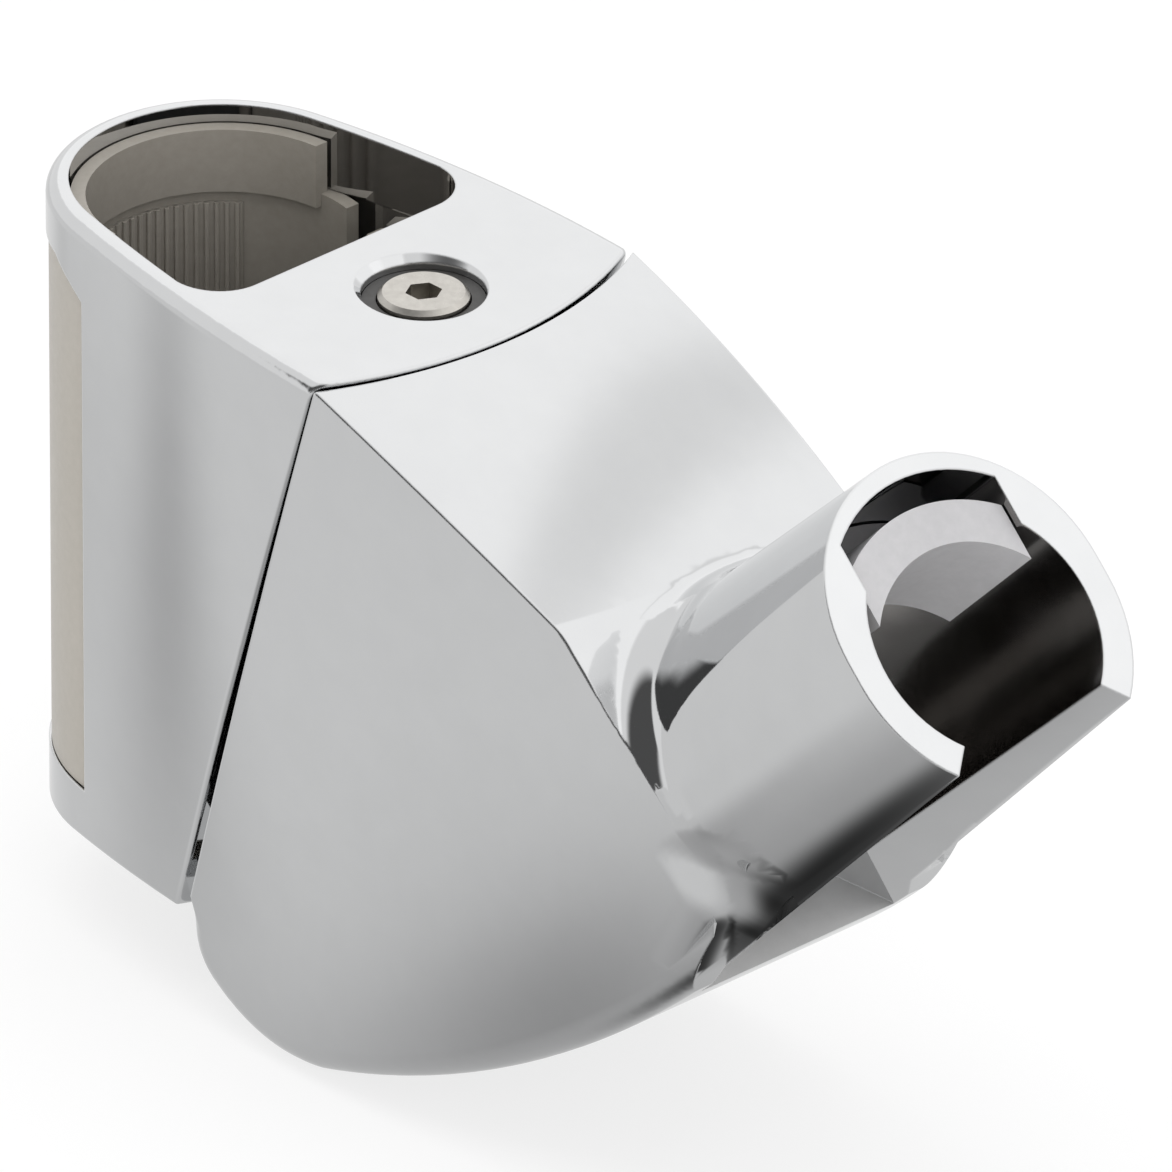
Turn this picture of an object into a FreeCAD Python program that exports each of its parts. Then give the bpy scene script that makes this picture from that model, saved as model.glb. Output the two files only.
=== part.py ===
import FreeCAD, Part
import math
import os
import Sketcher

# Hand shower holder that slides on a vertical wall bar.
# +X points away from the wall, +Z up the bar. The origin lies on the bar axis, level with the top rim.
# Sizes are millimetres and degrees.

os.makedirs("parts", exist_ok=True)
doc = FreeCAD.newDocument("hand_shower_holder")

driving_sizes = [
    ("bar_radius", 12.5, "wall bar that the slider runs on"),
    ("bar_gap", 0.05, "running gap of the sleeve on the bar"),
    ("shell_radius", 16.2, "back of the housing, about the bar axis"),
    ("shell_wall", 2.1, "wall of the housing at its top rim"),
    ("cavity_wall", 1.4, "wall of the housing beside the works"),
    ("shell_height", 63.7, "housing, rim to underside"),
    ("flank_angle", 13, "turn of the flank where it leaves the round back"),
    ("wide_x", 33, "place of the widest section in front of the bar"),
    ("nose_bend", 300, "plan radius of the flanks in front of the widest section"),
    ("top_bend", 836, "side radius of the housing's top"),
    ("deck_depth", 6.9, "underside of the deck round the passage, below the rim"),
    ("deck_front_depth", 4.4, "underside of the thin front of the deck, below the rim"),
    ("deck_step_x", 33.6, "where the deck gets thin"),
    ("floor_height", 2.7, "floor of the housing"),
    ("passage_front_x", 16.6, "front edge of the passage for the bar"),
    ("floor_front_x", 14.2, "front of the passage through the floor"),
    ("passage_corner", 5, "corner radius of the passage"),
    ("seam_bend", 42.9, "plan radius of the seam"),
    ("seam_apex_x", 38.74, "front of the housing at rim level"),
    ("seam_tilt", 18.2, "lean of the seam, top forward"),
    ("holder_tilt", 17.1, "lean of the holder's back"),
    ("seam_gap", 0.45, "gap of the seam at rim level"),
    ("rim_round", 1.5, "rounding of the top edge"),
    ("edge_round", 0.4, "small rounding of chrome edges"),
    ("fit_gap", 0.15, "gap round pieces that snap or lie in place"),
    ("slide_gap", 0.3, "gap round pieces that slide"),
    ("window_x", -1.5, "front edge of the window in the back"),
    ("window_top", -7.9, "top corner of the window"),
    ("window_top_back", -5.2, "top of the window at the back"),
    ("window_slope_run", 5.1, "run of the sloping top corner of the window"),
    ("window_low", -58.7, "bottom corner of the window"),
    ("window_low_back", -57.2, "bottom of the window at the back"),
    ("cover_thick", 1.1, "back cover"),
    ("cover_sink", 0.25, "cover below the chrome"),
    ("collar_top", 1.9, "top collar below the rim"),
    ("collar_height", 6.4, "height of each collar"),
    ("collar_end_x", -0.9, "front end of the collars"),
    ("sleeve_recess", 0.65, "sleeve behind the faces that touch the bar"),
    ("sleeve_end_x", 2.8, "front end of the sleeve"),
    ("rib_span", 102, "angle that the ribbed pad covers"),
    ("rib_count", 24, "ribs on the pad"),
    ("rib_height", 0.3, "ribs on the pad"),
    ("rib_width", 0.45, "ribs on the pad"),
    ("rib_margin", 1.2, "pad to the collars"),
    ("screw_x", 26.85, "deck screw in front of the bar axis"),
    ("well_radius", 5.75, "well of the deck screw"),
    ("well_chamfer", 0.45, "bright chamfer of the well"),
    ("well_depth", 5.2, "floor of the well below the rim"),
    ("head_radius", 4.25, "head of the deck screw"),
    ("head_height", 3.5, "head of the deck screw"),
    ("hex_across", 3.0, "hexagon socket across its flats"),
    ("hex_depth", 2.0, "hexagon socket"),
    ("shank_radius", 2.5, "deck screw"),
    ("shank_length", 15, "deck screw below its head"),
    ("ring_top", 2.5, "dark ring below the rim"),
    ("insert_radius", 3.6, "threaded insert"),
    ("insert_height", 8, "threaded insert"),
    ("insert_top", 11.2, "threaded insert below the rim"),
    ("pivot_x", 31.5, "pivot pin in front of the bar axis"),
    ("pivot_depth", 9, "pivot pin below the rim"),
    ("pin_radius", 1.75, "pivot pin"),
    ("pin_half", 14, "half length of the pivot pin"),
    ("slot_half", 10.9, "half width of the block's slot"),
    ("web_half", 6.7, "half width of the block's web between the lever's arms"),
    ("web_depth", 21.7, "underside of the web below the rim"),
    ("block_setback", 0.5, "front of the block behind the housing's edge"),
    ("bush_wall", 1.0, "bush of the lever"),
    ("eye_wall", 1.3, "eye of the lever round its bush"),
    ("lever_gap", 0.3, "gap on each side of the lever's arms"),
    ("carriage_front_x", 19.1, "front of the brake carriage"),
    ("carriage_back_x", 4.5, "back ends of the brake carriage"),
    ("carriage_top", 9.4, "top of the brake carriage below the rim"),
    ("carriage_height", 33, "brake carriage"),
    ("carriage_travel", 1.7, "room in front of the brake carriage"),
    ("pad_thick", 2.0, "brake pad"),
    ("pad_span", 124, "angle that the brake pad covers"),
    ("rod_radius", 1.5, "guide rods"),
    ("rod_y", 14, "guide rods beside the middle"),
    ("rod_inset", 4, "guide rods from the ends of the carriage"),
    ("rod_back_x", 13.2, "back ends of the guide rods"),
    ("rod_front_x", 22.6, "front ends of the guide rods"),
    ("spring_radius", 1.9, "middle of the brake spring's wire"),
    ("spring_wire", 0.3, "radius of the brake spring's wire"),
    ("spring_seat", 3.2, "depth of the spring's seat in the carriage"),
    ("spring_turns", 4, "turns of the brake spring"),
    ("cross_x", 22.3, "cross pin in front of the bar axis"),
    ("cross_depth", 36, "cross pin below the rim"),
    ("cross_radius", 1.5, "cross pin"),
    ("fork_thick", 2.2, "ears of the carriage on the cross pin"),
    ("fork_gap", 0.3, "gap between lever nose and carriage ears"),
    ("nose_half", 3.4, "half width of the lever nose"),
    ("cup_x", 100.65, "centre of the cup's mouth in front of the bar axis"),
    ("cup_depth", 8, "centre of the cup's mouth below the rim"),
    ("cup_lean", 45, "lean of the cup, mouth forward"),
    ("cup_radius", 12.25, "cup at its mouth"),
    ("cup_low_radius", 10.9, "cup at its lower end"),
    ("cup_bore", 45, "depth of the cup"),
    ("cup_wall", 3.15, "wall of the cup at its mouth"),
    ("cup_back_extra", 2.2, "added wall of the cup on the bar side"),
    ("cup_flare", 1.4, "growth of the cup's outside down to its root"),
    ("cup_length", 46.5, "outside of the cup, mouth to root"),
    ("slot_angle", 88, "opening angle of the hose slot"),
    ("hose_slot_length", 47, "hose slot along the cup"),
    ("pocket_half", 9.6, "half width of the clip's pocket"),
    ("pocket_radius", 15.75, "back of the clip's pocket from the cup axis"),
    ("pocket_depth", 16, "pocket of the clip"),
    ("clip_top", 1.0, "clip below the rim of the cup"),
    ("clip_inner_bend", 12.2, "inner curve of the clip"),
    ("clip_outer_bend", 16.3, "outer curve of the clip"),
    ("clip_shift", 3.3, "centres of the clip's curves, towards the slot"),
    ("clip_foot", 3.5, "foot of the clip"),
    ("holder_wall", 2.4, "wall of the holder"),
    ("top_mid_x", 65.8, "end of the gentle part of the holder's top"),
    ("top_mid_depth", 15.2, "end of the gentle part of the holder's top"),
    ("top_mid_bend", 240, "gentle part of the holder's top"),
    ("top_turn_x", 67.2, "end of the turn of the holder's top"),
    ("top_turn_depth", 16.35, "end of the turn of the holder's top"),
    ("top_turn_bend", 5, "turn of the holder's top"),
    ("top_end_depth", 39.2, "front end of the holder's top"),
    ("top_end_x", 86, "front end of the holder's top"),
    ("heel_x", 15.2, "start of the heel under the seam"),
    ("heel_depth", 63, "start of the heel below the rim"),
    ("heel_bend", 6.5, "heel of the holder"),
    ("sole_x", 18.5, "back of the holder's underside"),
    ("sole_depth", 7.6, "back of the holder's underside, below the heel"),
    ("sole_bend", 20.5, "back of the holder's underside"),
    ("belly_x", 33, "start of the long curve of the underside"),
    ("belly_depth", 10.4, "start of the long curve of the underside, below the heel"),
    ("belly_bend", 106, "long curve of the underside"),
    ("belly_end_x", 78, "end of the long curve of the underside"),
    ("belly_end_depth", -14.4, "end of the long curve of the underside, below the heel"),
    ("heel_heading", 107, "fall of the outline at the heel, past level"),
    ("sole_heading", 28, "fall of the outline at the sole"),
    ("belly_heading", 14.6, "climb of the outline at the belly"),
    ("belly_end_heading", 46.4, "climb of the outline at the end of the belly"),
    ("body_front_x", 84, "front of the body inside the cup"),
    ("body_front_depth", -26, "front of the body inside the cup, below the heel"),
    ("underside_round", 3, "rounding along the underside"),
    ("crease_round", 0.3, "rounding along the crease"),
    ("plate_thick", 3, "back plate of the holder"),
    ("plate_sink", 0.4, "back plate behind the chrome edge"),
    ("lever_thick", 5, "lever on the back plate"),
    ("lever_low", 42, "lower end of the lever below the rim"),
    ("lever_join", 22.5, "top of the lever's middle below the rim"),
    ("lever_top", 6, "top of the lever's arms below the rim"),
    ("nose_reach", 1.2, "lever nose behind the cross pin"),
    ("nose_height", 6.4, "lever nose"),
    ("plate_boss", 3.9, "bosses for the back plate's screws"),
    ("plate_screw_radius", 1.5, "screws of the back plate"),
    ("plate_screw_head", 2.8, "heads of the back plate's screws"),
    ("plate_screw_length", 11, "screws of the back plate"),
    ("plate_screw_y", 14.2, "screws of the back plate beside the middle"),
]

sheet = doc.addObject("Spreadsheet::Sheet", "Sizes")
for row, (alias, number, note) in enumerate(driving_sizes, start=1):
    sheet.set(f"A{row}", note)
    sheet.set(f"B{row}", str(number))
    sheet.setAlias(f"B{row}", alias)
doc.recompute()


# A size is a number together with the sheet expression that gives it.
class Size:
    def __init__(self, text, number):
        self.text = text
        self.number = number

    def __add__(self, other):
        other = as_size(other)
        return Size(f"({self.text} + {other.text})", self.number + other.number)

    def __sub__(self, other):
        other = as_size(other)
        return Size(f"({self.text} - {other.text})", self.number - other.number)

    def __mul__(self, other):
        other = as_size(other)
        return Size(f"({self.text} * {other.text})", self.number * other.number)

    def __truediv__(self, other):
        other = as_size(other)
        return Size(f"({self.text} / {other.text})", self.number / other.number)

    def __neg__(self):
        return Size(f"(0 - {self.text})", -self.number)

    def __rsub__(self, other):
        return as_size(other) - self


def as_size(value):
    if isinstance(value, Size):
        return value
    return Size(str(value), float(value))


def sine(angle):
    return Size(f"sin({angle.text})", math.sin(math.radians(angle.number)))


def cosine(angle):
    return Size(f"cos({angle.text})", math.cos(math.radians(angle.number)))


def tangent(angle):
    return sine(angle) / cosine(angle)


def root(value):
    return Size(f"sqrt({value.text})", math.sqrt(value.number))


class Sizes:
    pass


d = Sizes()
for alias, number, note in driving_sizes:
    setattr(d, alias, Size(f"Sizes.{alias}", float(number)))

origin = FreeCAD.Vector(0, 0, 0)
x_axis = FreeCAD.Vector(1, 0, 0)
y_axis = FreeCAD.Vector(0, 1, 0)
z_axis = FreeCAD.Vector(0, 0, 1)
plane_turns = {
    "top": FreeCAD.Rotation(),
    "side": FreeCAD.Rotation(x_axis, 90),
    "front": FreeCAD.Rotation(0.5, 0.5, 0.5, 0.5),
}


# Helpers for sketches, solids and placements
def place(thing, x=0, y=0, z=0, turn=None):
    places = [as_size(x), as_size(y), as_size(z)]
    numbers = [value.number for value in places]
    thing.Placement = FreeCAD.Placement(FreeCAD.Vector(*numbers), turn or FreeCAD.Rotation())
    for letter, value in zip("xyz", places):
        if "Sizes." in value.text:
            thing.setExpression(f"Placement.Base.{letter}", value.text)
    return thing


def flat_sketch(name, plane, offset=0):
    sketch = doc.addObject("Sketcher::SketchObject", name)
    offset = as_size(offset)
    if plane == "top":
        return place(sketch, z=offset, turn=plane_turns[plane])
    if plane == "side":
        return place(sketch, y=offset, turn=plane_turns[plane])
    return place(sketch, x=offset, turn=plane_turns[plane])


def body_sketch(body, name, role, offset=0):
    sketch = body.newObject("Sketcher::SketchObject", name)
    plane = next(item for item in body.Origin.OriginFeatures if item.Role == role)
    sketch.AttachmentSupport = [(plane, "")]
    sketch.MapMode = "FlatFace"
    offset = as_size(offset)
    sketch.AttachmentOffset = FreeCAD.Placement(FreeCAD.Vector(0, 0, offset.number), FreeCAD.Rotation())
    if "Sizes." in offset.text:
        sketch.setExpression("AttachmentOffset.Base.z", offset.text)
    return sketch


def constrain(sketch, kind, references, size):
    index = sketch.addConstraint(Sketcher.Constraint(kind, *references, size.number))
    if "Sizes." in size.text:
        sketch.setExpression(f"Constraints[{index}]", size.text)


def pin_down(sketch, edge, corner, x, y):
    constrain(sketch, "DistanceX", (-1, 1, edge, corner), as_size(x))
    constrain(sketch, "DistanceY", (-1, 1, edge, corner), as_size(y))


# An outline is a closed run of corners, anticlockwise. A corner's third value is the radius of
# the arc to the next corner: positive where it bulges outwards, negative where it is hollow.
def outline(sketch, corners):
    corners = [(as_size(c[0]), as_size(c[1]), as_size(c[2]) if len(c) > 2 else None) for c in corners]
    first_edge = sketch.GeometryCount
    joints = []
    for index, (x, y, bend) in enumerate(corners):
        next_x, next_y, next_bend = corners[(index + 1) % len(corners)]
        start = FreeCAD.Vector(x.number, y.number, 0)
        end = FreeCAD.Vector(next_x.number, next_y.number, 0)
        if bend is None:
            edge = sketch.addGeometry(Part.LineSegment(start, end))
            joints.append((edge, 1, 2))
        else:
            forward = bend.number > 0
            arc_start, arc_end = (start, end) if forward else (end, start)
            chord = arc_end - arc_start
            radius = abs(bend.number)
            rise = math.sqrt(max(radius * radius - chord.Length * chord.Length / 4, 0))
            inward = FreeCAD.Vector(-chord.y, chord.x, 0).normalize()
            centre = (arc_start + arc_end) * 0.5 + inward * rise
            start_angle = math.atan2(arc_start.y - centre.y, arc_start.x - centre.x)
            end_angle = math.atan2(arc_end.y - centre.y, arc_end.x - centre.x)
            if end_angle < start_angle:
                end_angle += 2 * math.pi
            circle = Part.Circle(centre, z_axis, radius)
            edge = sketch.addGeometry(Part.ArcOfCircle(circle, start_angle, end_angle))
            joints.append((edge, 1, 2) if forward else (edge, 2, 1))
    for index, (edge, near, far) in enumerate(joints):
        next_edge, next_near, next_far = joints[(index + 1) % len(joints)]
        sketch.addConstraint(Sketcher.Constraint("Coincident", edge, far, next_edge, next_near))
    for (edge, near, far), (x, y, bend) in zip(joints, corners):
        pin_down(sketch, edge, near, x, y)
        if bend is not None:
            constrain(sketch, "Radius", (edge,), bend if bend.number > 0 else -bend)
    return first_edge


def ring(sketch, radius, x=0, y=0):
    radius = as_size(radius)
    x = as_size(x)
    y = as_size(y)
    circle = Part.Circle(FreeCAD.Vector(x.number, y.number, 0), z_axis, radius.number)
    edge = sketch.addGeometry(circle)
    pin_down(sketch, edge, 3, x, y)
    constrain(sketch, "Radius", (edge,), radius)
    return sketch


def extrude(name, sketch, direction, forward, backward=0):
    solid = doc.addObject("Part::Extrusion", name)
    solid.Base = sketch
    solid.DirMode = "Custom"
    direction = [as_size(value) for value in direction]
    solid.Dir = FreeCAD.Vector(*[value.number for value in direction])
    for letter, value in zip("xyz", direction):
        if "Sizes." in value.text:
            solid.setExpression(f"Dir.{letter}", value.text)
    forward = as_size(forward)
    backward = as_size(backward)
    solid.LengthFwd = forward.number
    solid.LengthRev = backward.number
    if "Sizes." in forward.text:
        solid.setExpression("LengthFwd", forward.text)
    if "Sizes." in backward.text:
        solid.setExpression("LengthRev", backward.text)
    solid.Solid = True
    return solid


def cylinder(name, radius, height, x=0, y=0, z=0, turn=None, second_radius=None):
    kind = "Part::Cylinder" if second_radius is None else "Part::Cone"
    solid = doc.addObject(kind, name)
    values = {"Height": as_size(height)}
    if second_radius is None:
        values["Radius"] = as_size(radius)
    else:
        values["Radius1"] = as_size(radius)
        values["Radius2"] = as_size(second_radius)
    for key, value in values.items():
        setattr(solid, key, value.number)
        if "Sizes." in value.text:
            solid.setExpression(key, value.text)
    return place(solid, x, y, z, turn)


def box(name, low, high):
    solid = doc.addObject("Part::Box", name)
    low = [as_size(value) for value in low]
    high = [as_size(value) for value in high]
    for key, start, end in zip(("Length", "Width", "Height"), low, high):
        size = end - start
        setattr(solid, key, size.number)
        if "Sizes." in size.text:
            solid.setExpression(key, size.text)
    return place(solid, *low)


def common(name, *pieces):
    solid = doc.addObject("Part::MultiCommon", name)
    solid.Shapes = list(pieces)
    return solid


def fuse(name, *pieces):
    solid = doc.addObject("Part::MultiFuse", name)
    solid.Shapes = list(pieces)
    solid.Refine = True
    return solid


def cut(name, base, *tools):
    tool = tools[0] if len(tools) == 1 else fuse(f"{name}_tools", *tools)
    solid = doc.addObject("Part::Cut", name)
    solid.Base = base
    solid.Tool = tool
    return solid


across = FreeCAD.Rotation(x_axis, -90)
forward_turn = FreeCAD.Rotation(y_axis, 90)


# Round pieces that lie along Y or along X
def span_y(name, radius, x, z, start_y, end_y):
    return cylinder(name, radius, as_size(end_y) - start_y, x=x, y=start_y, z=z, turn=across)


def span_x(name, radius, start_x, end_x, y, z):
    return cylinder(name, radius, as_size(end_x) - start_x, x=start_x, y=y, z=z, turn=forward_turn)


def both_sides(name, make):
    return [make(f"{name}_{word}", side) for word, side in (("right", -1), ("left", 1))]


# Rounds the edges whose middle point passes the test, each with the radius that the test returns.
def round_edges(name, base, radius_at):
    doc.recompute()
    rounded = doc.addObject("Part::Fillet", name)
    rounded.Base = base
    chosen = []
    for index, edge in enumerate(base.Shape.Edges, start=1):
        middle = edge.valueAt((edge.FirstParameter + edge.LastParameter) / 2)
        radius = radius_at(middle, edge)
        if radius:
            chosen.append((index, radius.number, radius.number))
    rounded.Edges = chosen
    return rounded


sub_parts = []


def name_part(label, thing):
    thing.Label = label
    sub_parts.append(thing)
    return thing


# Driving places worked out from the sizes
past = 5
reach = 90
bite = 1
edge_margin = 1
flank_bend = (d.wide_x + d.shell_radius * sine(d.flank_angle)) / sine(d.flank_angle)
flank_rise = flank_bend * (1 - cosine(d.flank_angle))
half_width = d.shell_radius * cosine(d.flank_angle) + flank_rise
crown_x = -(d.shell_radius + past)
passage_radius = d.shell_radius - d.shell_wall
run_radius = d.bar_radius + d.bar_gap
underside = -d.shell_height
floor_top = underside + d.floor_height
deck_low = -d.deck_depth
deck_front_low = -d.deck_front_depth


def deck_fall(x):
    run = x - crown_x
    return d.top_bend - root(d.top_bend * d.top_bend - run * run)


def flank_y(x, inset):
    bend = flank_bend - inset
    run = x - d.wide_x
    return half_width - flank_bend + root(bend * bend - run * run)


def nose_y(x, inset):
    bend = d.nose_bend - inset
    run = x - d.wide_x
    return half_width - d.nose_bend + root(bend * bend - run * run)


# Outline of the whole slider seen from above, drawn in by an inset: round back, flanks, nose
def plan_prism(name, inset, front_x, low, high):
    inset = as_size(inset)
    back = d.shell_radius - inset
    back_x = -(back * sine(d.flank_angle))
    back_y = back * cosine(d.flank_angle)
    wide_y = half_width - inset
    front_y = nose_y(as_size(front_x), inset)
    sketch = flat_sketch(f"{name}_plan", "top", low)
    outline(sketch, [
        (d.wide_x, -wide_y, d.nose_bend - inset),
        (front_x, -front_y),
        (front_x, front_y, d.nose_bend - inset),
        (d.wide_x, wide_y, flank_bend - inset),
        (back_x, back_y, back),
        (back_x, -back_y, flank_bend - inset),
    ])
    return extrude(name, sketch, (0, 0, 1), as_size(high) - low)


# Everything behind a curved front that leans like the seam
def behind_seam(name, shift, lean):
    apex = d.seam_apex_x + shift
    side_y = half_width + past
    side_x = apex - d.seam_bend + root(d.seam_bend * d.seam_bend - side_y * side_y)
    sketch = flat_sketch(f"{name}_arc", "top")
    outline(sketch, [
        (-reach, -side_y),
        (side_x, -side_y, d.seam_bend),
        (side_x, side_y),
        (-reach, side_y),
    ])
    return extrude(name, sketch, (sine(lean), 0, cosine(lean)), past, reach)


def side_prism(name, corners):
    sketch = flat_sketch(f"{name}_profile", "side")
    outline(sketch, corners)
    return extrude(name, sketch, (0, 1, 0), half_width + past, half_width + past)


# Housing: a chromed shell with a deck, an open front, a passage for the bar and a window in its back
def passage_prism(name, inset, low, high, front_x):
    inset = as_size(inset)
    back = d.shell_radius - inset
    back_x = -(back * sine(d.flank_angle))
    back_y = back * cosine(d.flank_angle)
    turn_x = front_x - d.passage_corner
    turn_y = flank_y(turn_x, inset)
    front_y = turn_y - d.passage_corner
    sketch = flat_sketch(f"{name}_plan", "top", low)
    outline(sketch, [
        (turn_x, -turn_y, d.passage_corner),
        (front_x, -front_y),
        (front_x, front_y, d.passage_corner),
        (turn_x, turn_y, flank_bend - inset),
        (back_x, back_y, back),
        (back_x, -back_y, flank_bend - inset),
    ])
    return extrude(name, sketch, (0, 0, 1), as_size(high) - low)


def window_prism(name, gap):
    edge_x = d.window_x - gap
    back_x = crown_x
    return side_prism(name, [
        (edge_x, d.window_low + gap),
        (edge_x, d.window_top - gap),
        (edge_x - d.window_slope_run, d.window_top_back - gap),
        (back_x, d.window_top_back - gap),
        (back_x, d.window_low_back + gap),
    ])


def housing_edge_radius(middle, edge):
    at_seam = middle.x > d.wide_x.number and abs(middle.y) < edge_margin
    near_top = middle.z > -d.rim_round.number - edge_margin
    if near_top and not at_seam:
        return d.rim_round
    if edge.Length > edge_margin:
        return d.edge_round
    return None


housing_far_x = d.seam_apex_x + past
housing_block = common(
    "housing_block",
    plan_prism("housing_plan", 0, housing_far_x, underside - past, past),
    side_prism("housing_side", [
        (crown_x, underside),
        (housing_far_x, underside),
        (housing_far_x, -deck_fall(housing_far_x), d.top_bend),
        (crown_x, 0),
    ]),
    behind_seam("housing_front", 0, d.seam_tilt),
)
housing_round = round_edges("housing_round", housing_block, housing_edge_radius)
well_low = -d.well_depth
well_rim = -deck_fall(d.screw_x)
chamfer_low = well_rim - d.well_chamfer
front_bay = common(
    "front_bay",
    plan_prism("front_bay_plan", d.cavity_wall, housing_far_x, deck_low - bite, deck_front_low),
    box("front_bay_box", (d.deck_step_x, -reach, -reach), (reach, reach, past)),
)
shank_hole_radius = d.shank_radius + d.fit_gap
bush_radius = d.pin_radius + d.bush_wall
eye_radius = bush_radius + d.eye_wall
eye_bay_x = d.pivot_x - eye_radius - d.slide_gap


# Room in the deck for one of the lever's eyes
def eye_bay(name, side):
    low_y, high_y = (d.web_half, d.slot_half) if side > 0 else (-d.slot_half, -d.web_half)
    return box(name, (eye_bay_x, low_y, deck_low - past), (reach, high_y, deck_front_low))


housing = name_part("slider_housing", cut(
    "housing",
    housing_round,
    passage_prism("passage", d.shell_wall, deck_low - past, past, d.passage_front_x),
    passage_prism("floor_passage", d.shell_wall, underside - past, floor_top + past, d.floor_front_x),
    plan_prism("cavity", d.cavity_wall, housing_far_x, floor_top, deck_low),
    front_bay,
    *both_sides("eye_bay", eye_bay),
    cylinder("well", d.well_radius, past - well_low, x=d.screw_x, z=well_low),
    cylinder(
        "well_chamfer_cone", d.well_radius, d.well_chamfer * 2, x=d.screw_x, z=chamfer_low,
        second_radius=d.well_radius + d.well_chamfer * 2,
    ),
    cylinder("deck_hole", shank_hole_radius, past + past, x=d.screw_x, z=deck_low - past),
    window_prism("window", as_size(0)),
))

# Back cover: a curved strip that snaps into the window
cover_radius = d.shell_radius - d.cover_sink
cover_inner = cover_radius - d.cover_thick
cover_tube = cut(
    "cover_tube",
    cylinder("cover_outside", cover_radius, d.shell_height, z=underside),
    cylinder("cover_inside", cover_inner, d.shell_height + past + past, z=underside - past),
)
name_part("back_cover", common("cover", cover_tube, window_prism("cover_window", d.fit_gap)))

# Sleeve: plastic lining with a collar at each end that runs on the bar
sleeve_outer = d.shell_radius - d.cavity_wall - d.fit_gap
sleeve_inner = run_radius + d.sleeve_recess
sleeve_low = floor_top + d.fit_gap
sleeve_high = deck_low - d.fit_gap
collar_outer = passage_radius - d.fit_gap


def half_ring(name, outer, inner, low, high, end_x):
    wall = cut(
        f"{name}_wall",
        cylinder(f"{name}_outside", outer, high - low, z=low),
        cylinder(f"{name}_inside", inner, high - low + past + past, z=low - past),
    )
    return common(name, wall, box(f"{name}_half", (-reach, -reach, -reach), (end_x, reach, past)))


name_part("bar_sleeve", fuse(
    "sleeve",
    half_ring("sleeve_panel", sleeve_outer, sleeve_inner, sleeve_low, sleeve_high, d.sleeve_end_x),
    half_ring(
        "top_collar", collar_outer, run_radius,
        -d.collar_top - d.collar_height, -d.collar_top, d.collar_end_x,
    ),
    half_ring(
        "low_collar", collar_outer, run_radius,
        underside + d.collar_top, underside + d.collar_top + d.collar_height, d.collar_end_x,
    ),
))

# Ribbed pad at the back of the passage: a thin curved plate with fine upright ribs
pitch = d.rib_span / d.rib_count
pad_outer = sleeve_inner
pad_inner = run_radius + d.rib_height
pad_low = underside + d.collar_top + d.collar_height + d.rib_margin
pad_high = -d.collar_top - d.collar_height - d.rib_margin
first_edge_angle = -(pitch / 2)
last_edge_angle = d.rib_span - pitch / 2
pad_turn = 180 - d.rib_span / 2 + pitch / 2


def z_body(name, low=0):
    body = doc.addObject("PartDesign::Body", name)
    return place(body, z=low)


def pad_feature(body, name, sketch, length):
    pad = body.newObject("PartDesign::Pad", name)
    pad.Profile = sketch
    length = as_size(length)
    pad.Length = length.number
    if "Sizes." in length.text:
        pad.setExpression("Length", length.text)
    return pad


rib_body = z_body("rib_body", pad_low)
rib_body.Placement = FreeCAD.Placement(rib_body.Placement.Base, FreeCAD.Rotation(z_axis, pad_turn.number))
rib_body.setExpression("Placement.Rotation.Angle", pad_turn.text)
plate_sketch = body_sketch(rib_body, "rib_plate", "XY_Plane")
outline(plate_sketch, [
    (pad_outer * cosine(first_edge_angle), pad_outer * sine(first_edge_angle), pad_outer),
    (pad_outer * cosine(last_edge_angle), pad_outer * sine(last_edge_angle)),
    (pad_inner * cosine(last_edge_angle), pad_inner * sine(last_edge_angle), -pad_inner),
    (pad_inner * cosine(first_edge_angle), pad_inner * sine(first_edge_angle)),
])
pad_feature(rib_body, "rib_plate_pad", plate_sketch, pad_high - pad_low)
rib_sketch = body_sketch(rib_body, "rib", "XY_Plane")
rib_root = pad_inner + d.rib_height / 2
outline(rib_sketch, [
    (run_radius, -(d.rib_width / 2)),
    (rib_root, -(d.rib_width / 2)),
    (rib_root, d.rib_width / 2),
    (run_radius, d.rib_width / 2),
])
rib = pad_feature(rib_body, "rib_bar", rib_sketch, pad_high - pad_low)
doc.recompute()
ribs = rib_body.newObject("PartDesign::PolarPattern", "ribs")
ribs.Originals = [rib]
ribs.Axis = (next(item for item in rib_body.Origin.OriginFeatures if item.Role == "Z_Axis"), [""])
ribs.Angle = (d.rib_span - pitch).number
ribs.setExpression("Angle", (d.rib_span - pitch).text)
ribs.Occurrences = int(d.rib_count.number)
ribs.setExpression("Occurrences", d.rib_count.text)
rib_body.Tip = ribs
name_part("rib_pad", rib_body)


# Turned pieces: a profile of radius and height, turned about an upright axis
def turned(name, corners, x=0, y=0, z=0, turn=None):
    body = doc.addObject("PartDesign::Body", name)
    place(body, x, y, z, turn)
    sketch = body_sketch(body, f"{name}_profile", "XZ_Plane")
    outline(sketch, corners)
    revolution = body.newObject("PartDesign::Revolution", f"{name}_turned")
    revolution.Profile = sketch
    axis = next(item for item in body.Origin.OriginFeatures if item.Role == "Z_Axis")
    revolution.ReferenceAxis = (axis, [""])
    revolution.Angle = 360
    return body


ring_inner = d.head_radius + d.fit_gap
ring_outer = d.well_radius - d.fit_gap / 3
name_part("screw_well_ring", turned("well_ring", [
    (ring_inner, 0),
    (ring_outer, 0),
    (ring_outer, d.well_depth - d.ring_top),
    (ring_inner, d.well_depth - d.ring_top),
], x=d.screw_x, z=well_low))

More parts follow.
